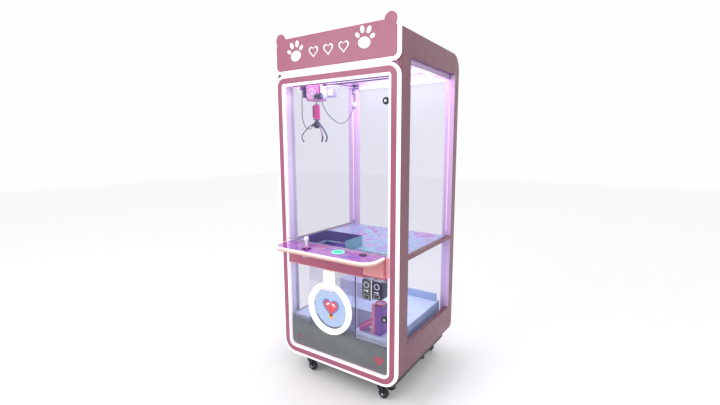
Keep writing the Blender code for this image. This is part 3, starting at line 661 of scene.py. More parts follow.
def dressed(node, look):
    """A node kept as it is, with its own material."""
    materials = frame["nodes"][node].data.materials
    materials.clear()
    materials.append(look)


def heart(u, v, size, sides=40):
    """A plain heart about (u, v), with its point down."""
    outline = []
    for i in range(sides):
        a = 2 * pi * i / sides
        outline.append((u + size * 16 * sin(a) ** 3 / 17,
                        v + size * (13 * cos(a) - 5 * cos(2 * a) - 2 * cos(3 * a) - cos(4 * a)) / 17))
    return outline


def ellipse(u, v, radii, lean=0.0, sides=24):
    """An ellipse, leaning anticlockwise by an angle."""
    outline = []
    for i in range(sides):
        a = 2 * pi * i / sides
        x, y = radii[0] * cos(a), radii[1] * sin(a)
        outline.append((u + x * cos(lean) - y * sin(lean), v + x * sin(lean) + y * cos(lean)))
    return outline


# Cabinet

def shell():
    """The cabinet's panels, pale inside and lilac at the back of their windows, and what they hold."""
    for side, sign in (("left", -1), ("right", 1)):
        # The side panels' outside takes the darker side pink, painted shade.
        panel = softened(f"{side}_side_panel", SHADED_SIDE_PINK, 0.0022, 3)
        repainted(panel, PALE, lambda face: face.normal.x * sign < -FACING)
        repainted(panel, LILAC, lambda face: face.normal.y < -FACING and face.center.y > at_depth(0.6))
        dressed(f"{side}_glass", SIDE_GLASS)
    softened("rear_frame", LILAC, 0.0016)
    dressed("rear_glass", SIDE_GLASS)
    # The roof box takes the same darker pink, painted shade.
    roof = softened("roof_box", SHADED_SIDE_PINK, 0.0008)
    repainted(roof, LILAC, lambda face: face.normal.z < -FACING)
    softened("base_frame", SATIN_BLACK, 0.0015)
    softened("control_box", GREY_PLASTIC, 0.004, 3)
    softened("power_inlet", BLACK, 0.002)
    softened("playfield", MAT, 0.0008)
    fence = softened("chute_fence", SMOKED, 0.0006)
    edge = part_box("chute_fence")[1].x - 0.001
    repainted(fence, TEAL_PANE, lambda face: face.normal.x > FACING and face.center.x > edge)
    softened("prize_chute", CHUTE_PLASTIC, 0.0004)


def platform():
    """The white box inside the base; its sides and the board behind it take a greyer blue copy of the
    laminate, painted shade.
    """
    low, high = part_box("base_platform")
    top = softened("base_platform", WHITE, 0.004, 3)
    # Painted shade: the sides take the greyer blue copy.
    repainted(top, SHADED_PLATFORM_SIDE, lambda face: abs(face.normal.x) > FACING)
    lip = 0.01
    board = block("platform_back_board", (low.x + lip, high.x - lip), (0.64, 0.652),
                  (high.z + 0.0003, high.z + 0.05), SHADED_PLATFORM_SIDE, 0.002)
    show(board, "cabinet", "white_panel")


def header():
    """The board with its lit edge, two plain paw prints and three heart outlines."""
    softened("header_panel", PINK, 0.0016)
    softened("header_light", NEON, 0.0055, 4)
    span = (HEADER_FACE - 0.0016, HEADER_FACE - 0.0002)
    outlines = []
    for x, z, lean in ((-0.236, 1.866, 0.16), (0.206, 1.876, -0.16)):
        outlines.append([ellipse(x, z - 0.01, (0.036, 0.027), lean, 32)])
        for turn, reach, size in ((-1.0, 0.052, 0.0105), (-0.34, 0.058, 0.0125),
                                  (0.34, 0.058, 0.0125), (1.0, 0.052, 0.0105)):
            a = turn - lean
            toe = ellipse(x + reach * sin(a), z - 0.006 + reach * cos(a), (size, size * 1.45), -a)
            outlines.append([toe])
    outlines += [[heart(x, 1.866, 0.034), heart(x, 1.866, 0.025)] for x in (-0.112, -0.014, 0.084)]
    motifs = [slab("motif", "Y", span, outline, MOTIF_WHITE, 0.0004) for outline in outlines]
    added("header_motifs", motifs, "cabinet", "white_panel")


def ceiling():
    """Lit strips under the ceiling with their driver, and two glowing strips down the rear corners, painted
    light where the posts catch the inside light.
    """
    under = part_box("roof_box")[0].z
    things = []
    for depth in (0.035, 0.66):
        things += [
            block("channel", (-0.33, 0.33), (depth - 0.01, depth + 0.01), (under - 0.009, under - 0.0005),
                  WHITE_PLASTIC, 0.0015),
            block("tube", (-0.322, 0.322), (depth - 0.007, depth + 0.007), (under - 0.013, under - 0.0085),
                  LILAC_LED_AND_PAINTED_GLOW, 0.002),
        ]
    things.append(block("driver", (0.08, 0.2), (0.64, 0.65), (under - 0.026, under - 0.0005),
                        BLUE_BOX, 0.002))
    added("ceiling_lights", things, "cabinet", "light_strip")
    # The rear corner strips glow as painted light, for the inside light caught on the posts.
    posts = []
    for x in (0.0065 - INNER, INNER - 0.0065):
        posts += [
            block("channel", (x - 0.0055, x + 0.0055), (0.682, 0.6885), (0.83, 1.63), LILAC),
            block("tube", (x - 0.003, x + 0.003), (0.68, 0.6825), (0.834, 1.626), LILAC_LED_AND_PAINTED_GLOW, 0.0008),
        ]
    added("corner_painted_glow", posts, "cabinet", "light_strip")


def post_bracket():
    """Where the post cable ends: a plum clamp and a white connector on the rear frame."""
    end = at_depth(0.6885)
    things = [
        block("plate", (-0.3685, -0.318), (0.68, 0.6885), (1.774, 1.802), PLUM, 0.002),
        block("clamp", (-0.366, -0.348), (0.67, 0.68), (1.764, 1.786), PLUM, 0.002),
        block("connector", (-0.366, -0.337), (0.674, 0.6885), (1.654, 1.683), WHITE_PLASTIC, 0.002),
        block("latch", (-0.356, -0.346), (0.6715, 0.6745), (1.66, 1.676), WHITE_PLASTIC),
    ]
    for x in (-0.34, -0.326):
        head = (x, at_depth(0.6775), 1.788)
        things.append(rod("screw", (x, at_depth(0.6805), 1.788), head, 0.0035, CHROME))
    lead = [(-0.358, end - 0.012, 1.766), (-0.364, end - 0.014, 1.748), (-0.356, end - 0.015, 1.738),
            (-0.346, end - 0.014, 1.746), (-0.344, end - 0.012, 1.73), (-0.35, end - 0.009, 1.705),
            (-0.353, end - 0.008, 1.682)]
    things.append(wire("lead", curved(lead), 0.0026, PLUM))
    added("post_bracket", things, "cabinet", "violet_deck")


def castor(corner):
    """A fork with its axle bolt, and a rubber wheel with a paler core."""
    fork, wheel = f"castor_fork_{corner}", f"castor_wheel_{corner}"
    softened(fork, SATIN_BLACK, 0.0008)
    low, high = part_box(wheel)
    hub, radius, half = middle(wheel), (high.z - low.z) / 2, (high.y - low.y) / 2
    profile = [
        (0.0045, half), (0.0085, half), (0.0095, half - 0.0012), (0.0185, half - 0.003),
        (0.0205, half - 0.001), (radius - 0.0035, half - 0.0006), (radius - 0.001, half - 0.003),
        (radius, half - 0.0065),
    ]
    profile += [(r, -h) for r, h in reversed(profile)]
    face = half + 0.0002
    core = [(0.0045, face), (0.009, face), (0.009, -face), (0.0045, -face)]
    stand_in([lathe("tyre", hub, profile, RUBBER, "Y", 40), lathe("core", hub, core, GREY_PLASTIC, "Y", 24)],
             wheel)
    bolt = lathe("axle_bolt", (hub.x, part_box(fork)[0].y + 0.0008, hub.z),
                 [(0.0, 0.0022), (0.004, 0.0022), (0.0058, 0.0006), (0.0058, 0.0), (0.0, 0.0)],
                 CHROME, "Y", 6)
    added(f"castor_bolt_{corner}", [bolt], BODY_OF[fork], "chrome_metal")


def foot(node):
    """A levelling foot: threaded stem, lock nut and a rubber-edged pad."""
    low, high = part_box(node)
    x, y, _ = middle(node)
    pitch, stem, radius = 0.0014, 0.0048, (high.x - low.x) / 2
    thread = [(0.0, high.z)]
    for i in range(int((high.z - 0.032) / pitch)):
        z = high.z - pitch * i
        thread += [(stem - 0.0006, z), (stem, z - pitch / 2)]
    thread += [(stem - 0.0006, 0.03), (0.0, 0.03)]
    pad = [(0.0, 0.031), (0.01, 0.031), (0.0112, 0.02), (0.015, 0.0158), (radius - 0.002, 0.008),
           (radius, 0.0062), (radius, 0.0), (0.0, 0.0)]
    nut = [(0.0, 0.104), (0.0078, 0.104), (0.009, 0.1025), (0.009, 0.0985), (0.0078, 0.097), (0.0, 0.097)]
    stand_in([
        lathe("stem", (x, y, 0.0), thread, STEEL, steps=16),
        lathe("pad", (x, y, 0.0), pad, BLACK, steps=32),
        lathe("nut", (x, y, 0.0), nut, STEEL, steps=6),
    ], node)


# Hinged front

def front():
    """The hinged front: its frame, lit strips, glass, ring, kick film, hinges and seals."""
    softened("front_bezel", PINK, 0.002, 3)
    softened("bezel_outer_light", NEON, 0.0055, 4)
    softened("bezel_inner_light", NEON, 0.0045, 4)
    for node in ("front_upper_glass", "front_lower_glass", "coin_door"):
        dressed(node, GLASS)
    softened("prize_door_ring", RING_NEON, 0.0085, 5)
    kick_film()
    hinges = []
    for z in (0.33, 0.98, 1.64):
        for step in range(3):
            low = z + 0.0205 * step
            ends = [(-0.401, at_depth(-0.012), height) for height in (low, low + 0.02)]
            hinges.append(rod("knuckle", *ends, 0.0042, CHROME, 16))
    added("front_hinge_barrels", hinges, "cabinet", "chrome_metal")
    sill, half = DECK_TOP + 0.0014, 0.34
    seals = [
        block("rail", (-half, half), (-0.0155, -0.0136), (sill, sill + 0.006), CHROME, 0.0006),
        block("gasket", (-half, half), (-0.016, -0.0136), (sill + 0.0062, sill + 0.009), PLUM, 0.0005),
        block("seam", (0.1345, 0.1412), (-0.0152, -0.0134), (0.346, 0.693), PLUM, 0.0005),
    ]
    added("glass_rails", seals, "front_door", "chrome_metal")


def kick_film():
    """The film behind the lower glass, cut away round the ring, with two plain hearts on it."""
    half, bottom, step = 0.3395, 0.178, 0.344
    bite = RING_RADIUS - 0.02
    swing = acos((RING_Z - FILM_TOP) / bite)
    scoop = [(RING_X + bite * sin(a), RING_Z - bite * cos(a), 0.0)
             for a in (swing * (1 - i / 10) for i in range(21))]
    outline = rounded([(-half, bottom, 0.03), (half, bottom, 0.03), (half, step, 0.0), (0.133, step, 0.0),
                       (0.133, FILM_TOP, 0.0), *scoop, (-half, FILM_TOP, 0.0)])
    show(slab("kick_film", "Y", (-0.0074, -0.007), [outline], FILM, 0.0), "front_door", "clear_glass")
    prints = [slab("print", "Y", (-0.0078, -0.0076), [heart(*place)], look, 0.0)
              for place, look in (((0.283, 0.248, 0.034), FILM_CORAL), ((-0.282, 0.234, 0.02), FILM_ROSE))]
    added("kick_film_hearts", prints, "front_door", "white_panel")


def deck():
    """The control deck with its lit edge, the apron under it and the coin hood on its right."""
    softened("control_deck", DECK_PRINT, 0.0012)
    softened("deck_light", DECK_EDGE, 0.0038, 3)
    low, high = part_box("front_apron")
    near, far = depths("front_apron")
    split = 0.202
    stand_in([
        block("apron", (low.x, split), (near, far), (low.z, high.z), APRON_PINK, 0.003, 3),
        block("behind", (split + 0.0005, high.x), (near + 0.004, far), (0.702, high.z), APRON_PINK, 0.002),
        block("lip", (low.x, split), (near - 0.0015, near + 0.006), (low.z - 0.0006, low.z + 0.003), SALMON),
    ], "front_apron")
    back, face, top = near + 0.003, -0.037, high.z - 0.0008
    outline = rounded([(split + 0.001, back, 0.0), (split + 0.001, face, 0.004), (0.329, face, 0.004),
                       (0.329, back, 0.0)])
    added("coin_hood", [
        slab("hood", "Z", (0.718, top), [outline], SALMON, 0.0025, 3),
        block("flange", (0.327, 0.331), (face - 0.002, back), (0.716, top), COIN_PINK, 0.0015),
        block("bracket", (0.333, 0.352), (-0.03, -0.0215), (0.722, DECK_TOP - 0.001), SALMON, 0.003, 3),
        *(rod("screw", (x, at_depth(-0.0365), z), (x, at_depth(-0.0388), z), 0.0034, CHROME)
          for x, z in ((0.215, 0.728), (0.316, 0.732))),
    ], "front_door", "pink_paint")


def controls():
    button("drop_button", 0.01, TEAL_HALO, TEAL_GLOW)
    button("small_button", 0.0045, PLUM, BLACK)
    joystick()


def button(node, rim, halo, tone):
    """A domed cap inside a raised bezel."""
    low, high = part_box(node)
    x, y, _ = middle(node)
    radius, top, rise = (high.x - low.x) / 2, DECK_TOP, high.z
    bore = radius + 0.0007
    ring = [(bore, top + 0.0002), (bore, top + 0.003), (bore + 0.0012, top + 0.0042),
            (radius + rim - 0.002, top + 0.0038), (radius + rim, top + 0.0016), (radius + rim, top + 0.0002),
            (bore, top + 0.0002)]
    added(f"{node}_bezel", [lathe("ring", (x, y, 0.0), ring, halo, steps=48)], "front_door", SLOT_OF[node])
    cap = [(0.0, rise), (radius * 0.45, rise - 0.0004), (radius * 0.75, rise - 0.0013),
           (radius * 0.92, rise - 0.003), (radius - 0.0003, rise - 0.0056), (radius - 0.0003, low.z),
           (0.0, low.z)]
    stand_in([lathe("cap", (x, y, 0.0), cap, tone, steps=48)], node, f"{node}_cap")


def joystick():
    """A white grip over a rose skirt, the gimbal below, and a collar with four screws on the deck."""
    x, y, _ = middle("joystick_stick")
    pivot = 0.79
    profile = [
        (0.0, 0.108), (0.005, 0.1072), (0.0092, 0.1046), (0.012, 0.1002), (0.013, 0.095),
        (0.0124, 0.0895), (0.0104, 0.0845), (0.008, 0.0808), (0.0066, 0.0765), (0.006, 0.07),
        (0.0056, 0.056), (0.007, 0.0545), (0.0155, 0.0505), (0.0168, 0.049), (0.0168, 0.048),
        (0.0055, 0.048), (0.0055, 0.006), (0.0078, 0.0), (0.0052, -0.006), (0.0, -0.006),
    ]
    grip = lathe("grip", (x, y, pivot), profile[:11] + [(0.0, 0.056)], WHITE_PLASTIC)
    skirt = lathe("skirt", (x, y, pivot), [(0.0, 0.0558)] + profile[10:], ROSE)
    stand_in([grip, skirt], "joystick_stick", "joystick_finished")
    softened("joystick_gimbal", STEEL, 0.0006)
    top = DECK_TOP
    ring = [(0.0232, top + 0.0002), (0.0232, top + 0.0012), (0.03, top + 0.0016), (0.0315, top + 0.0008),
            (0.0315, top + 0.0002), (0.0232, top + 0.0002)]
    collar = [lathe("plate", (x, y, 0.0), ring, VIOLET, steps=40)]
    for quarter in range(4):
        a = pi / 4 + quarter * pi / 2
        at = (x + 0.0272 * cos(a), y + 0.0272 * sin(a))
        collar.append(rod("screw", (*at, top + 0.001), (*at, top + 0.0026), 0.0018, STEEL, 12, 0.0004))
    added("joystick_collar", collar, "front_door", "chrome_metal")


def prize_flap():
    """A clear blue flap with a plain heart and an amber dot, and its two hinge pins."""
    softened("prize_flap", FLAP, 0.0008)
    face = depths("prize_flap")[0]
    back, layer = (face - 0.0008, face - 0.0002), (face - 0.0014, face - 0.0009)
    gloss = (layer[0] - 0.0005, layer[0] - 0.0001)
    x, y, _ = middle("prize_flap")
    z = RING_Z + 0.004
    motif = [
        slab("outline", "Y", back, [heart(x, z, 0.062)], MOTIF_BLUE, 0.0),
        slab("heart", "Y", layer, [heart(x, z + 0.001, 0.05)], MOTIF_CORAL, 0.0),
        slab("dot", "Y", back, [circle(x, z - 0.056, 0.016)], MOTIF_AMBER, 0.0),
        *(slab("gloss", "Y", gloss, [ellipse(x + sign * 0.02, z + 0.016, (0.013, 0.006), sign * -0.5)],
               MOTIF_WHITE, 0.0) for sign in (-1, 1)),
    ]
    added("prize_flap_motif", motif, "prize_flap", "white_panel")
    pin_z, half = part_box("prize_flap")[1].z - 0.005, 0.076
    pins = [rod("pin", (x + sign * half, y, pin_z), (x + sign * (half + 0.01), y, pin_z), 0.0016, CHROME, 12)
            for sign in (-1, 1)]
    added("prize_flap_pins", pins, "prize_flap", "chrome_metal")


def lock(node):
    """A cam lock: black collar, bright cylinder with a key slot, and its cam behind."""
    low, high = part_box(node)
    near, far = depths(node)
    x, z = low.x + 0.018, middle(node).z
    collar = [(0.0072, -0.0012), (0.0092, 0.0), (0.013, -0.0004), (0.0168, -0.0028), (0.018, -0.0052),
              (0.018, -0.0086), (0.0078, -0.0086), (0.0078, -0.019), (0.0072, -0.019), (0.0072, -0.0012)]
    plug = [(0.0, -0.0016), (0.0062, -0.0016), (0.0071, -0.0026), (0.0071, -0.019), (0.0, -0.019)]
    stand_in([
        lathe("collar", (x, low.y, z), collar, BLACK, "Y", 40),
        lathe("plug", (x, low.y, z), plug, CHROME, "Y"),
        # Key slot: a thin black block, painted shade in the keyway.
        block("key_slot", (x - 0.0009, x + 0.0009), (near + 0.0013, near + 0.0018), (z - 0.0045, z + 0.0045),
              BLACK, 0.0002),
        block("cam", (x - 0.006, high.x), (far - 0.0022, far), (z - 0.0058, z + 0.0058), STEEL, 0.0006),
    ], node)


def coin_door():
    """Both locks, the coin units, and the coin pane's trim with its chrome divider."""
    lock("front_lock")
    lock("coin_lock")
    coin_mech("coin_mech_left", MECH_GREY)
    coin_mech("coin_mech_right", MECH_NAVY)
    low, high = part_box("coin_door")
    edge, rim = depths("coin_door")[0], 0.003
    border = [rectangle((low.x, high.x), (low.z, high.z)),
              rectangle((low.x + rim, high.x - rim), (low.z + rim, high.z - rim))]
    added("coin_door_trim", [
        slab("edge", "Y", (edge - 0.0012, edge - 0.0002), border, GREY_PLASTIC, 0.0),
        block("divider", (0.2417, 0.2478), (edge - 0.009, edge - 0.0013), (0.585, high.z - 0.004),
              CHROME, 0.0012),
    ], "coin_door", "black_plastic")


def coin_mech(node, tone):
    """A drop-in coin unit: a faceplate with a round bezel and slot, a reject lever and a return cup."""
    low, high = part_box(node)
    x, face, half = middle(node).x, depths(node)[0], (high.x - low.x) / 2
    softened(node, tone, 0.0016)
    eye, plate = high.z - 0.026, face - 0.0022
    bezel = [(0.0115, 0.0), (0.0115, 0.003), (0.013, 0.0042), (0.016, 0.0036), (0.0175, 0.0014),
             (0.0175, 0.0), (0.0115, 0.0)]
    disc = [(0.0, 0.0022), (0.0112, 0.0018), (0.0112, 0.0), (0.0, 0.0)]
    reject = (x + 0.008, at_depth(plate), eye - 0.03), (x + 0.008, at_depth(face - 0.007), eye - 0.03)
    parts = [
        block("plate", (x - half - 0.0008, x + half + 0.0008), (plate, face - 0.0003),
              (low.z - 0.0015, high.z + 0.001), tone, 0.0006),
        lathe("bezel", (x, at_depth(plate), eye), bezel, GREY_PLASTIC, "Y", 40),
        lathe("disc", (x, at_depth(plate), eye), disc, tone, "Y"),
        # Coin slot: a thin black block, painted shade in the opening.
        block("slot", (x - 0.0012, x + 0.0012), (face - 0.005, face - 0.004), (eye - 0.0085, eye + 0.0085),
              BLACK, 0.0002),
        rod("reject", *reject, 0.006, CHROME),
        block("lever", (x - 0.017, x + 0.004), (face - 0.005, plate), (eye - 0.033, eye - 0.028), CHROME),
        block("cup", (x - 0.018, x + 0.018), (face - 0.0052, plate), (low.z + 0.006, low.z + 0.027),
              STEEL, 0.0014),
        # Return cup opening: a thin black block, painted shade in the hole.
        block("cup_hole", (x - 0.014, x + 0.014), (face - 0.0057, face - 0.0051),
              (low.z + 0.0085, low.z + 0.024), BLACK, 0.0002),
    ]
    for at in (x - half + 0.0035, x + half - 0.0035):
        for z in (low.z + 0.003, high.z - 0.003):
            ends = (at, at_depth(face - 0.002), z), (at, at_depth(face - 0.0034), z)
            parts.append(rod("screw", *ends, 0.002, CHROME, 12, 0.0003))
    added(f"{node}_face", parts, "coin_door", "chrome_metal")


def coin_box():
    """The coin safe: a salmon post in front, a violet side, its funnel and the sloping tray."""
    low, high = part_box("coin_box")
    near, far = depths("coin_box")
    left, right, top = 0.212, high.x, high.z
    mouth = ((left + right) / 2 + 0.008, at_depth(near + 0.036), 0.0)
    funnel = [(0.0, top - 0.012), (0.023, top - 0.012), (0.029, top - 0.004), (0.031, top),
              (0.029, top), (0.024, top - 0.005), (0.0, top - 0.006)]
    bed = [(0.0, top - 0.0058), (0.0235, top - 0.0048), (0.0235, top - 0.0056), (0.0, top - 0.0066)]
    tray = rounded([(left - 0.001, 0.456, 0.004), (low.x + 0.002, 0.398, 0.006),
                    (low.x + 0.002, low.z, 0.004), (low.x + 0.024, low.z, 0.0), (left - 0.001, 0.412, 0.0)])
    rib = [(left - 0.002, 0.44), (low.x + 0.006, 0.39), (low.x + 0.006, 0.383), (left - 0.002, 0.431)]
    stand_in([
        block("safe", (left + 0.01, right), (near + 0.002, far), (low.z, top - 0.01), VIOLET, 0.0025, 3),
        block("post", (left, left + 0.02), (near, near + 0.02), (low.z, top - 0.004), COIN_PINK, 0.002),
        lathe("funnel", mouth, funnel, MOTIF_CORAL, steps=36),
        lathe("funnel_bed", mouth, bed, COIN_MAGENTA, steps=36),
        slab("tray", "Y", (near, far - 0.01), [tray], COIN_MAGENTA, 0.0025, 3),
        slab("tray_rib", "Y", (near - 0.0012, near + 0.002), [rib], COIN_PINK, 0.0004),
        *(block("band", (left + 0.026, right - 0.004), (near + 0.0008, near + 0.003), (z, z + 0.004),
                COIN_MAGENTA, 0.0006) for z in (0.4, 0.46, 0.515)),
    ], "coin_box")


# Claw and its gantry

def gantry():
    """Two channel rails with a dark track and end stops, then what runs on them."""
    for side, sign in (("left", -1), ("right", 1)):
        node = f"rail_{side}"
        low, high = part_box(node)
        near, far = depths(node)
        outer, inner = sign * (INNER - 0.0065), sign * (abs(low.x + high.x) / 2 - 0.01)
        xs = sorted((outer, inner))
        stand_in([
            block("web", sorted((outer, outer - sign * 0.003)), (near, far), (low.z, high.z), LILAC, 0.0006),
            block("top", xs, (near, far), (high.z - 0.003, high.z), LILAC, 0.0006),
            block("bottom", xs, (near, far), (low.z, low.z + 0.003), LILAC, 0.0006),
            block("track", sorted((inner, inner + sign * 0.004)), (near + 0.002, far - 0.002),
                  (low.z + 0.0032, low.z + 0.008), SATIN_BLACK, 0.0006),
            *(block("stop", xs, (depth, depth + 0.008), (low.z + 0.003, high.z - 0.003), BLACK, 0.0015)
              for depth in (near + 0.006, far - 0.012)),
        ], node)
    bridge()
    trolley()


def bridge():
    """End plates and motors joined by two rods, with the driver box and cable tray behind them."""
    low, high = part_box("bridge_frame")
    centre = middle("bridge_frame").y - FRONT
    width = (centre - 0.045, centre + 0.045)
    things = []
    for sign in (-1, 1):
        things += [
            slab("end_plate", "X", sorted((sign * 0.324, sign * 0.3275)),
                 [rectangle(width, (low.z, high.z), 0.004)], LILAC, 0.0008),
            block("shelf", sorted((sign * 0.324, sign * 0.362)), width, (high.z - 0.003, high.z),
                  LILAC, 0.0008),
        ]
        for offset in (-0.033, 0.033):
            ends = [(sign * x, at_depth(centre + offset), high.z - 0.08) for x in (0.327, 0.34)]
            things.append(rod("wheel_pin", *ends, 0.0065, BLACK))
        things.append(block("motor", sorted((sign * 0.298, sign * 0.323)), (centre - 0.018, centre + 0.018),
                            (low.z + 0.046, low.z + 0.088), BLUE_BOX if sign > 0 else BLACK, 0.003, 3))
    for spread in (-ROD_SPREAD, ROD_SPREAD):
        ends = [(x, at_depth(centre + spread), ROD_Z) for x in (-0.325, 0.325)]
        things.append(rod("rod", *ends, 0.006, DARK_STEEL, 28))
    for name, xs, start, end, zs, look, edge in (
        ("driver_box", (-0.196, -0.094), 0.044, 0.078, (1.65, 1.723), BLUE_BOX, 0.004),
        ("driver_edge", (-0.2, -0.193), 0.042, 0.074, (1.656, 1.725), MAGENTA, 0.0015),
        ("driver_lid", (-0.15, -0.098), 0.0405, 0.0442, (1.656, 1.716), WHITE_PLASTIC, 0.0015),
        ("driver_hanger", (-0.16, -0.13), 0.044, 0.047, (1.72, 1.81), LILAC, 0.001),
        ("cable_tray", (-0.32, 0.32), 0.039, 0.043, (high.z - 0.024, high.z - 0.006), LILAC, 0.0008),
    ):
        segments = 3 if name == "driver_box" else 2
        things.append(block(name, xs, (centre + start, centre + end), zs, look, edge, segments))
    stand_in(things, "bridge_frame", "bridge_finished")


def trolley():
    """A rose housing with a round drum cover, a black motor, and an arm for the claw's cable."""
    low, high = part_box("trolley")
    near, far = depths("trolley")
    centre, shoulder, left = (near + far) / 2, 1.708, low.x + 0.026
    drum = (left + 0.043, low.z + 0.037)
    inside, cover = (near + 0.004, far - 0.004), (low.z + 0.012, shoulder - 0.002)
    motor_y, motor_z, upper_y, upper_z = low.y + 0.012, low.z + 0.022, high.y - 0.004, low.z + 0.05
    lid = [(0.0, 0.004), (0.008, 0.004), (0.011, 0.0024), (0.024, 0.003), (0.0285, 0.0044),
           (0.03, 0.003), (0.03, -0.002), (0.0, -0.002)]
    things = [
        block("housing", (left, high.x), (near, far), (low.z, shoulder), ROSE, 0.005, 4),
        block("side_plate", (low.x, low.x + 0.004), inside, (low.z + 0.02, shoulder), PLUM),
        block("top_plate", (low.x, left + 0.002), inside, (shoulder - 0.006, shoulder), PLUM),
        block("hump", (low.x + 0.004, high.x - 0.008), (centre - 0.0225, centre + 0.0225),
              (shoulder - 0.002, high.z), ROSE, 0.005, 3),
        block("side_cover", (high.x - 0.003, high.x + 0.006), (near + 0.02, far - 0.002), cover,
              BLUE_BOX, 0.002),
        block("side_label", (high.x + 0.0055, high.x + 0.0072), (near + 0.03, near + 0.056),
              (low.z + 0.022, shoulder - 0.012), WHITE_PLASTIC, 0.0006),
        block("side_edge", (high.x - 0.003, high.x + 0.0066), (near + 0.017, near + 0.02), cover,
              MAGENTA, 0.0008),
        block("cable_arm", (low.x - 0.04, low.x + 0.002), (centre - 0.012, centre + 0.012), (1.69, 1.706),
              PLUM, 0.002),
        lathe("drum_cover", (drum[0], low.y, drum[1]), lid, SHELL, "Y", 48),
        rod("motor", (high.x - 0.022, motor_y, motor_z), (high.x + 0.019, motor_y, motor_z),
            0.018, BLACK, 32, 0.002),
        rod("motor_end", (high.x + 0.018, motor_y, motor_z), (high.x + 0.0215, motor_y, motor_z),
            0.008, MOTIF_BLUE, 24),
        rod("upper_motor", (left + 0.004, upper_y, upper_z), (high.x - 0.004, upper_y, upper_z),
            0.006, BLUE_BOX, 24, 0.002),
    ]
    for step in range(5):
        a = 2 * pi * step / 5 + 0.3
        x, z = drum[0] + 0.0175 * cos(a), drum[1] + 0.0175 * sin(a)
        things.append(rod("hole", (x, low.y - 0.0018, z), (x, low.y - 0.0031, z), 0.0042, ROSE, 20, 0.0002))
    bush = [(0.0064, 0.006), (0.0098, 0.006), (0.0098, -0.006), (0.0064, -0.006), (0.0064, 0.006)]
    for x in (low.x + 0.012, high.x - 0.018):
        for spread in (-ROD_SPREAD, ROD_SPREAD):
            things.append(lathe("bush", (x, at_depth(centre + spread), ROD_Z), bush, STEEL, "X", 24))
    stand_in(things, "trolley")


def claw():
    """The wound coil between its caps, the spider with its ears, pins and links, and the fingers."""
    low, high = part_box("claw_body")
    x, y, _ = middle("claw_body")
    coil_low, coil_high, turns = 1.528, 1.602, 30
    step = (coil_high - coil_low) / turns / 2
    winding = [(0.0, coil_high), (0.0176, coil_high)]
    for i in range(turns):
        z = coil_high - (coil_high - coil_low) * (i + 0.5) / turns
        winding += [(0.0186, z + step * 0.8), (0.019, z), (0.0186, z - step * 0.8)]
    winding += [(0.0176, coil_low), (0.0, coil_low)]
    top_cap = [(0.0, high.z), (0.006, high.z), (0.007, high.z - 0.001), (0.007, 1.6065),
               (0.018, 1.606), (0.0198, 1.604), (0.02, 1.6005), (0.0, 1.6005)]
    bottom_cap = [(0.0, 1.529), (0.0196, 1.529), (0.02, 1.528), (0.02, 1.5235), (0.0186, 1.522),
                  (0.0, 1.522)]
    rim = [(0.0196, 1.5262), (0.0204, 1.5256), (0.0204, 1.5238), (0.019, 1.5222), (0.0188, 1.524),
           (0.0196, 1.5262)]
    plunger = [(0.0, 1.5225), (0.0105, 1.5225), (0.0105, 1.513), (0.0, 1.513)]
    spider = [(0.0, 1.514), (0.011, 1.514), (0.0168, 1.5105), (0.018, 1.508), (0.018, 1.485),
              (0.0168, 1.4835), (0.01, low.z), (0.0, low.z)]
    things = [lathe(name, (x, y, 0.0), profile, look, steps=40) for name, profile, look in (
        ("coil", winding, MAGENTA), ("top_cap", top_cap, ROSE), ("bottom_cap", bottom_cap, ROSE),
        ("rim", rim, SATIN_BLACK), ("spider", spider, SATIN_BLACK))]
    things.append(lathe("plunger", (x, y, 0.0), plunger, DARK_STEEL))
    things.append(block("terminal_strip", (x - 0.0205, x - 0.018), (y - FRONT - 0.012, y - FRONT + 0.004),
                        (1.536, 1.599), BLACK, 0.0008))
    spins = [Matrix.Translation((x, y, 0.0)) @ Matrix.Rotation(radians(90 + 120 * number), 4, "Z")
             for number in range(3)]
    for spin in spins:
        ears = [block("ear", (0.015, 0.0275), (side - 0.001 - FRONT, side + 0.001 - FRONT),
                      (1.488, 1.502), SATIN_BLACK, 0.0006) for side in (-0.0067, 0.0067)]
        pin = rod("pin", (0.024, -0.0088, CLAW_PIN_Z), (0.024, 0.0088, CLAW_PIN_Z), 0.002, CHROME, 12, 0.0004)
        link = rod("link", (0.008, 0.0, 1.517), (0.021, 0.0, 1.5065), 0.0014, CHROME, 10, 0.0002)
        things += turned([*ears, pin, link], spin)
    stand_in(things, "claw_body", "claw_finished")
    for number, spin in enumerate(spins, 1):
        finger(f"claw_finger_{number}", spin)


def turned(things, spin):
    """Shapes made along +X, turned into place."""
    for thing in things:
        thing.data.transform(spin)
    return things


def finger(node, spin):
    """A bent flat bar with an eye on its pin and a dark rubber tip."""
    pin = CLAW_PIN_Z
    route = [(0.0215, pin), (0.043, pin - 0.008), (0.066, pin - 0.032), (0.084, pin - 0.056),
             (0.0876, pin - 0.07), (0.0815, pin - 0.085), (0.0773, pin - 0.0932)]
    path = curved([(u, 0.0, v) for u, v in route], 5)
    outer, inner = [], []
    for i, point in enumerate(path):
        ahead = (path[min(i + 1, len(path) - 1)] - path[max(i - 1, 0)]).normalized()
        side = Vector((-ahead.z, 0.0, ahead.x)) * 0.0024
        outer.append((point.x - side.x, point.z - side.z))
        inner.append((point.x + side.x, point.z + side.z))
    end, reach = path[-1], path[-1] - path[-6]
    stand_in(turned([
        slab("bar", "Y", (-0.0042 - FRONT, 0.0042 - FRONT), [outer + inner[::-1]], DARK_STEEL, 0.0009),
        rod("tip", path[-6] + reach * 0.15, end + reach * 0.12, 0.005, BLACK, 20, 0.0015),
        rod("eye", (0.024, -0.005, pin), (0.024, 0.005, pin), 0.0058, DARK_STEEL, 24, 0.0006),
    ], spin), node)


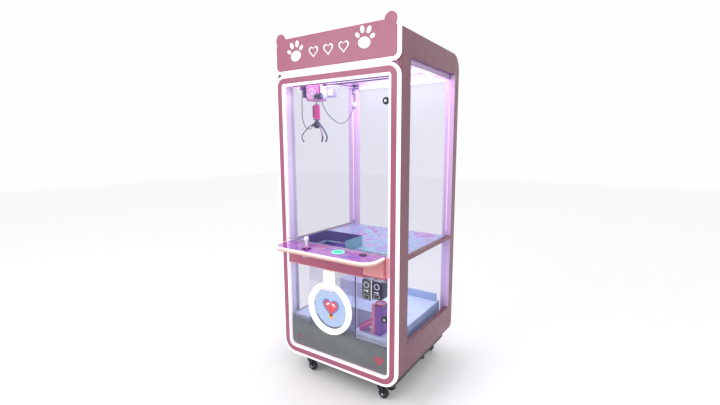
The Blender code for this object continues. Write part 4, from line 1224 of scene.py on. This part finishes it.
# Each cable's route, as the CAD has it: X, depth, Z
CLAW_CABLE = ((-0.252, 0.072, 1.695), (-0.274, 0.072, 1.693), (-0.287, 0.072, 1.67),
              (-0.29, 0.072, 1.6), (-0.288, 0.072, 1.53), (-0.262, 0.072, 1.48),
              (-0.23, 0.072, 1.476), (-0.213, 0.072, 1.49), (-0.2015, 0.072, 1.497))
TROLLEY_CABLE = ((-0.163, 0.1, 1.624), (-0.164, 0.101, 1.615), (-0.161, 0.112, 1.593),
                 (-0.1605, 0.14, 1.564), (-0.165, 0.18, 1.542))
POST_CABLE = ((-0.1655, 0.1835, 1.541), (-0.18, 0.27, 1.515), (-0.212, 0.38, 1.528),
              (-0.245, 0.48, 1.569), (-0.289, 0.57, 1.613), (-0.33, 0.64, 1.645),
              (-0.348, 0.672, 1.655), (-0.35, 0.6885, 1.656))
CABLE_RADIUS = 0.0022
LAY = 900       # the hoist cord's twist, in radians a metre


def cables():
    """The three hanging cables, and the claw's twisted hoist cord."""
    for name, route, (first, second) in (
        ("claw_cable", CLAW_CABLE, ("trolley", "claw")),
        ("trolley_cable", TROLLEY_CABLE, ("trolley", "bridge")),
        ("post_cable", POST_CABLE, ("bridge", "cabinet")),
    ):
        points = curved([(x, at_depth(depth), z) for x, depth, z in route])
        piece = wire(f"{name}_finished", points, CABLE_RADIUS, CABLE, 4)
        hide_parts(name)
        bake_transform(piece)
    low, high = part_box("hoist_cord")
    x, y, _ = middle("hoist_cord")
    radius = (high.x - low.x) / 4
    heights = [high.z + (low.z - high.z) * i / 16 for i in range(17)]
    strands = []
    for strand in range(3):
        turns = [(2 * pi * strand / 3 + LAY * (high.z - z), z) for z in heights]
        route = [(x + radius * cos(a), y + radius * sin(a), z) for a, z in turns]
        strands.append(wire("strand", route, radius, CABLE, 2))
    cord = gathered("hoist_cord_finished", strands)
    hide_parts("hoist_cord")
    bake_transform(cord)


camera()
studio()
floor()
cables()
shell()
platform()
header()
ceiling()
post_bracket()
for corner in ("front_left", "front_right", "rear_left", "rear_right"):
    castor(corner)
    foot(f"foot_{corner}")
front()
deck()
controls()
prize_flap()
coin_door()
coin_box()
gantry()
claw()
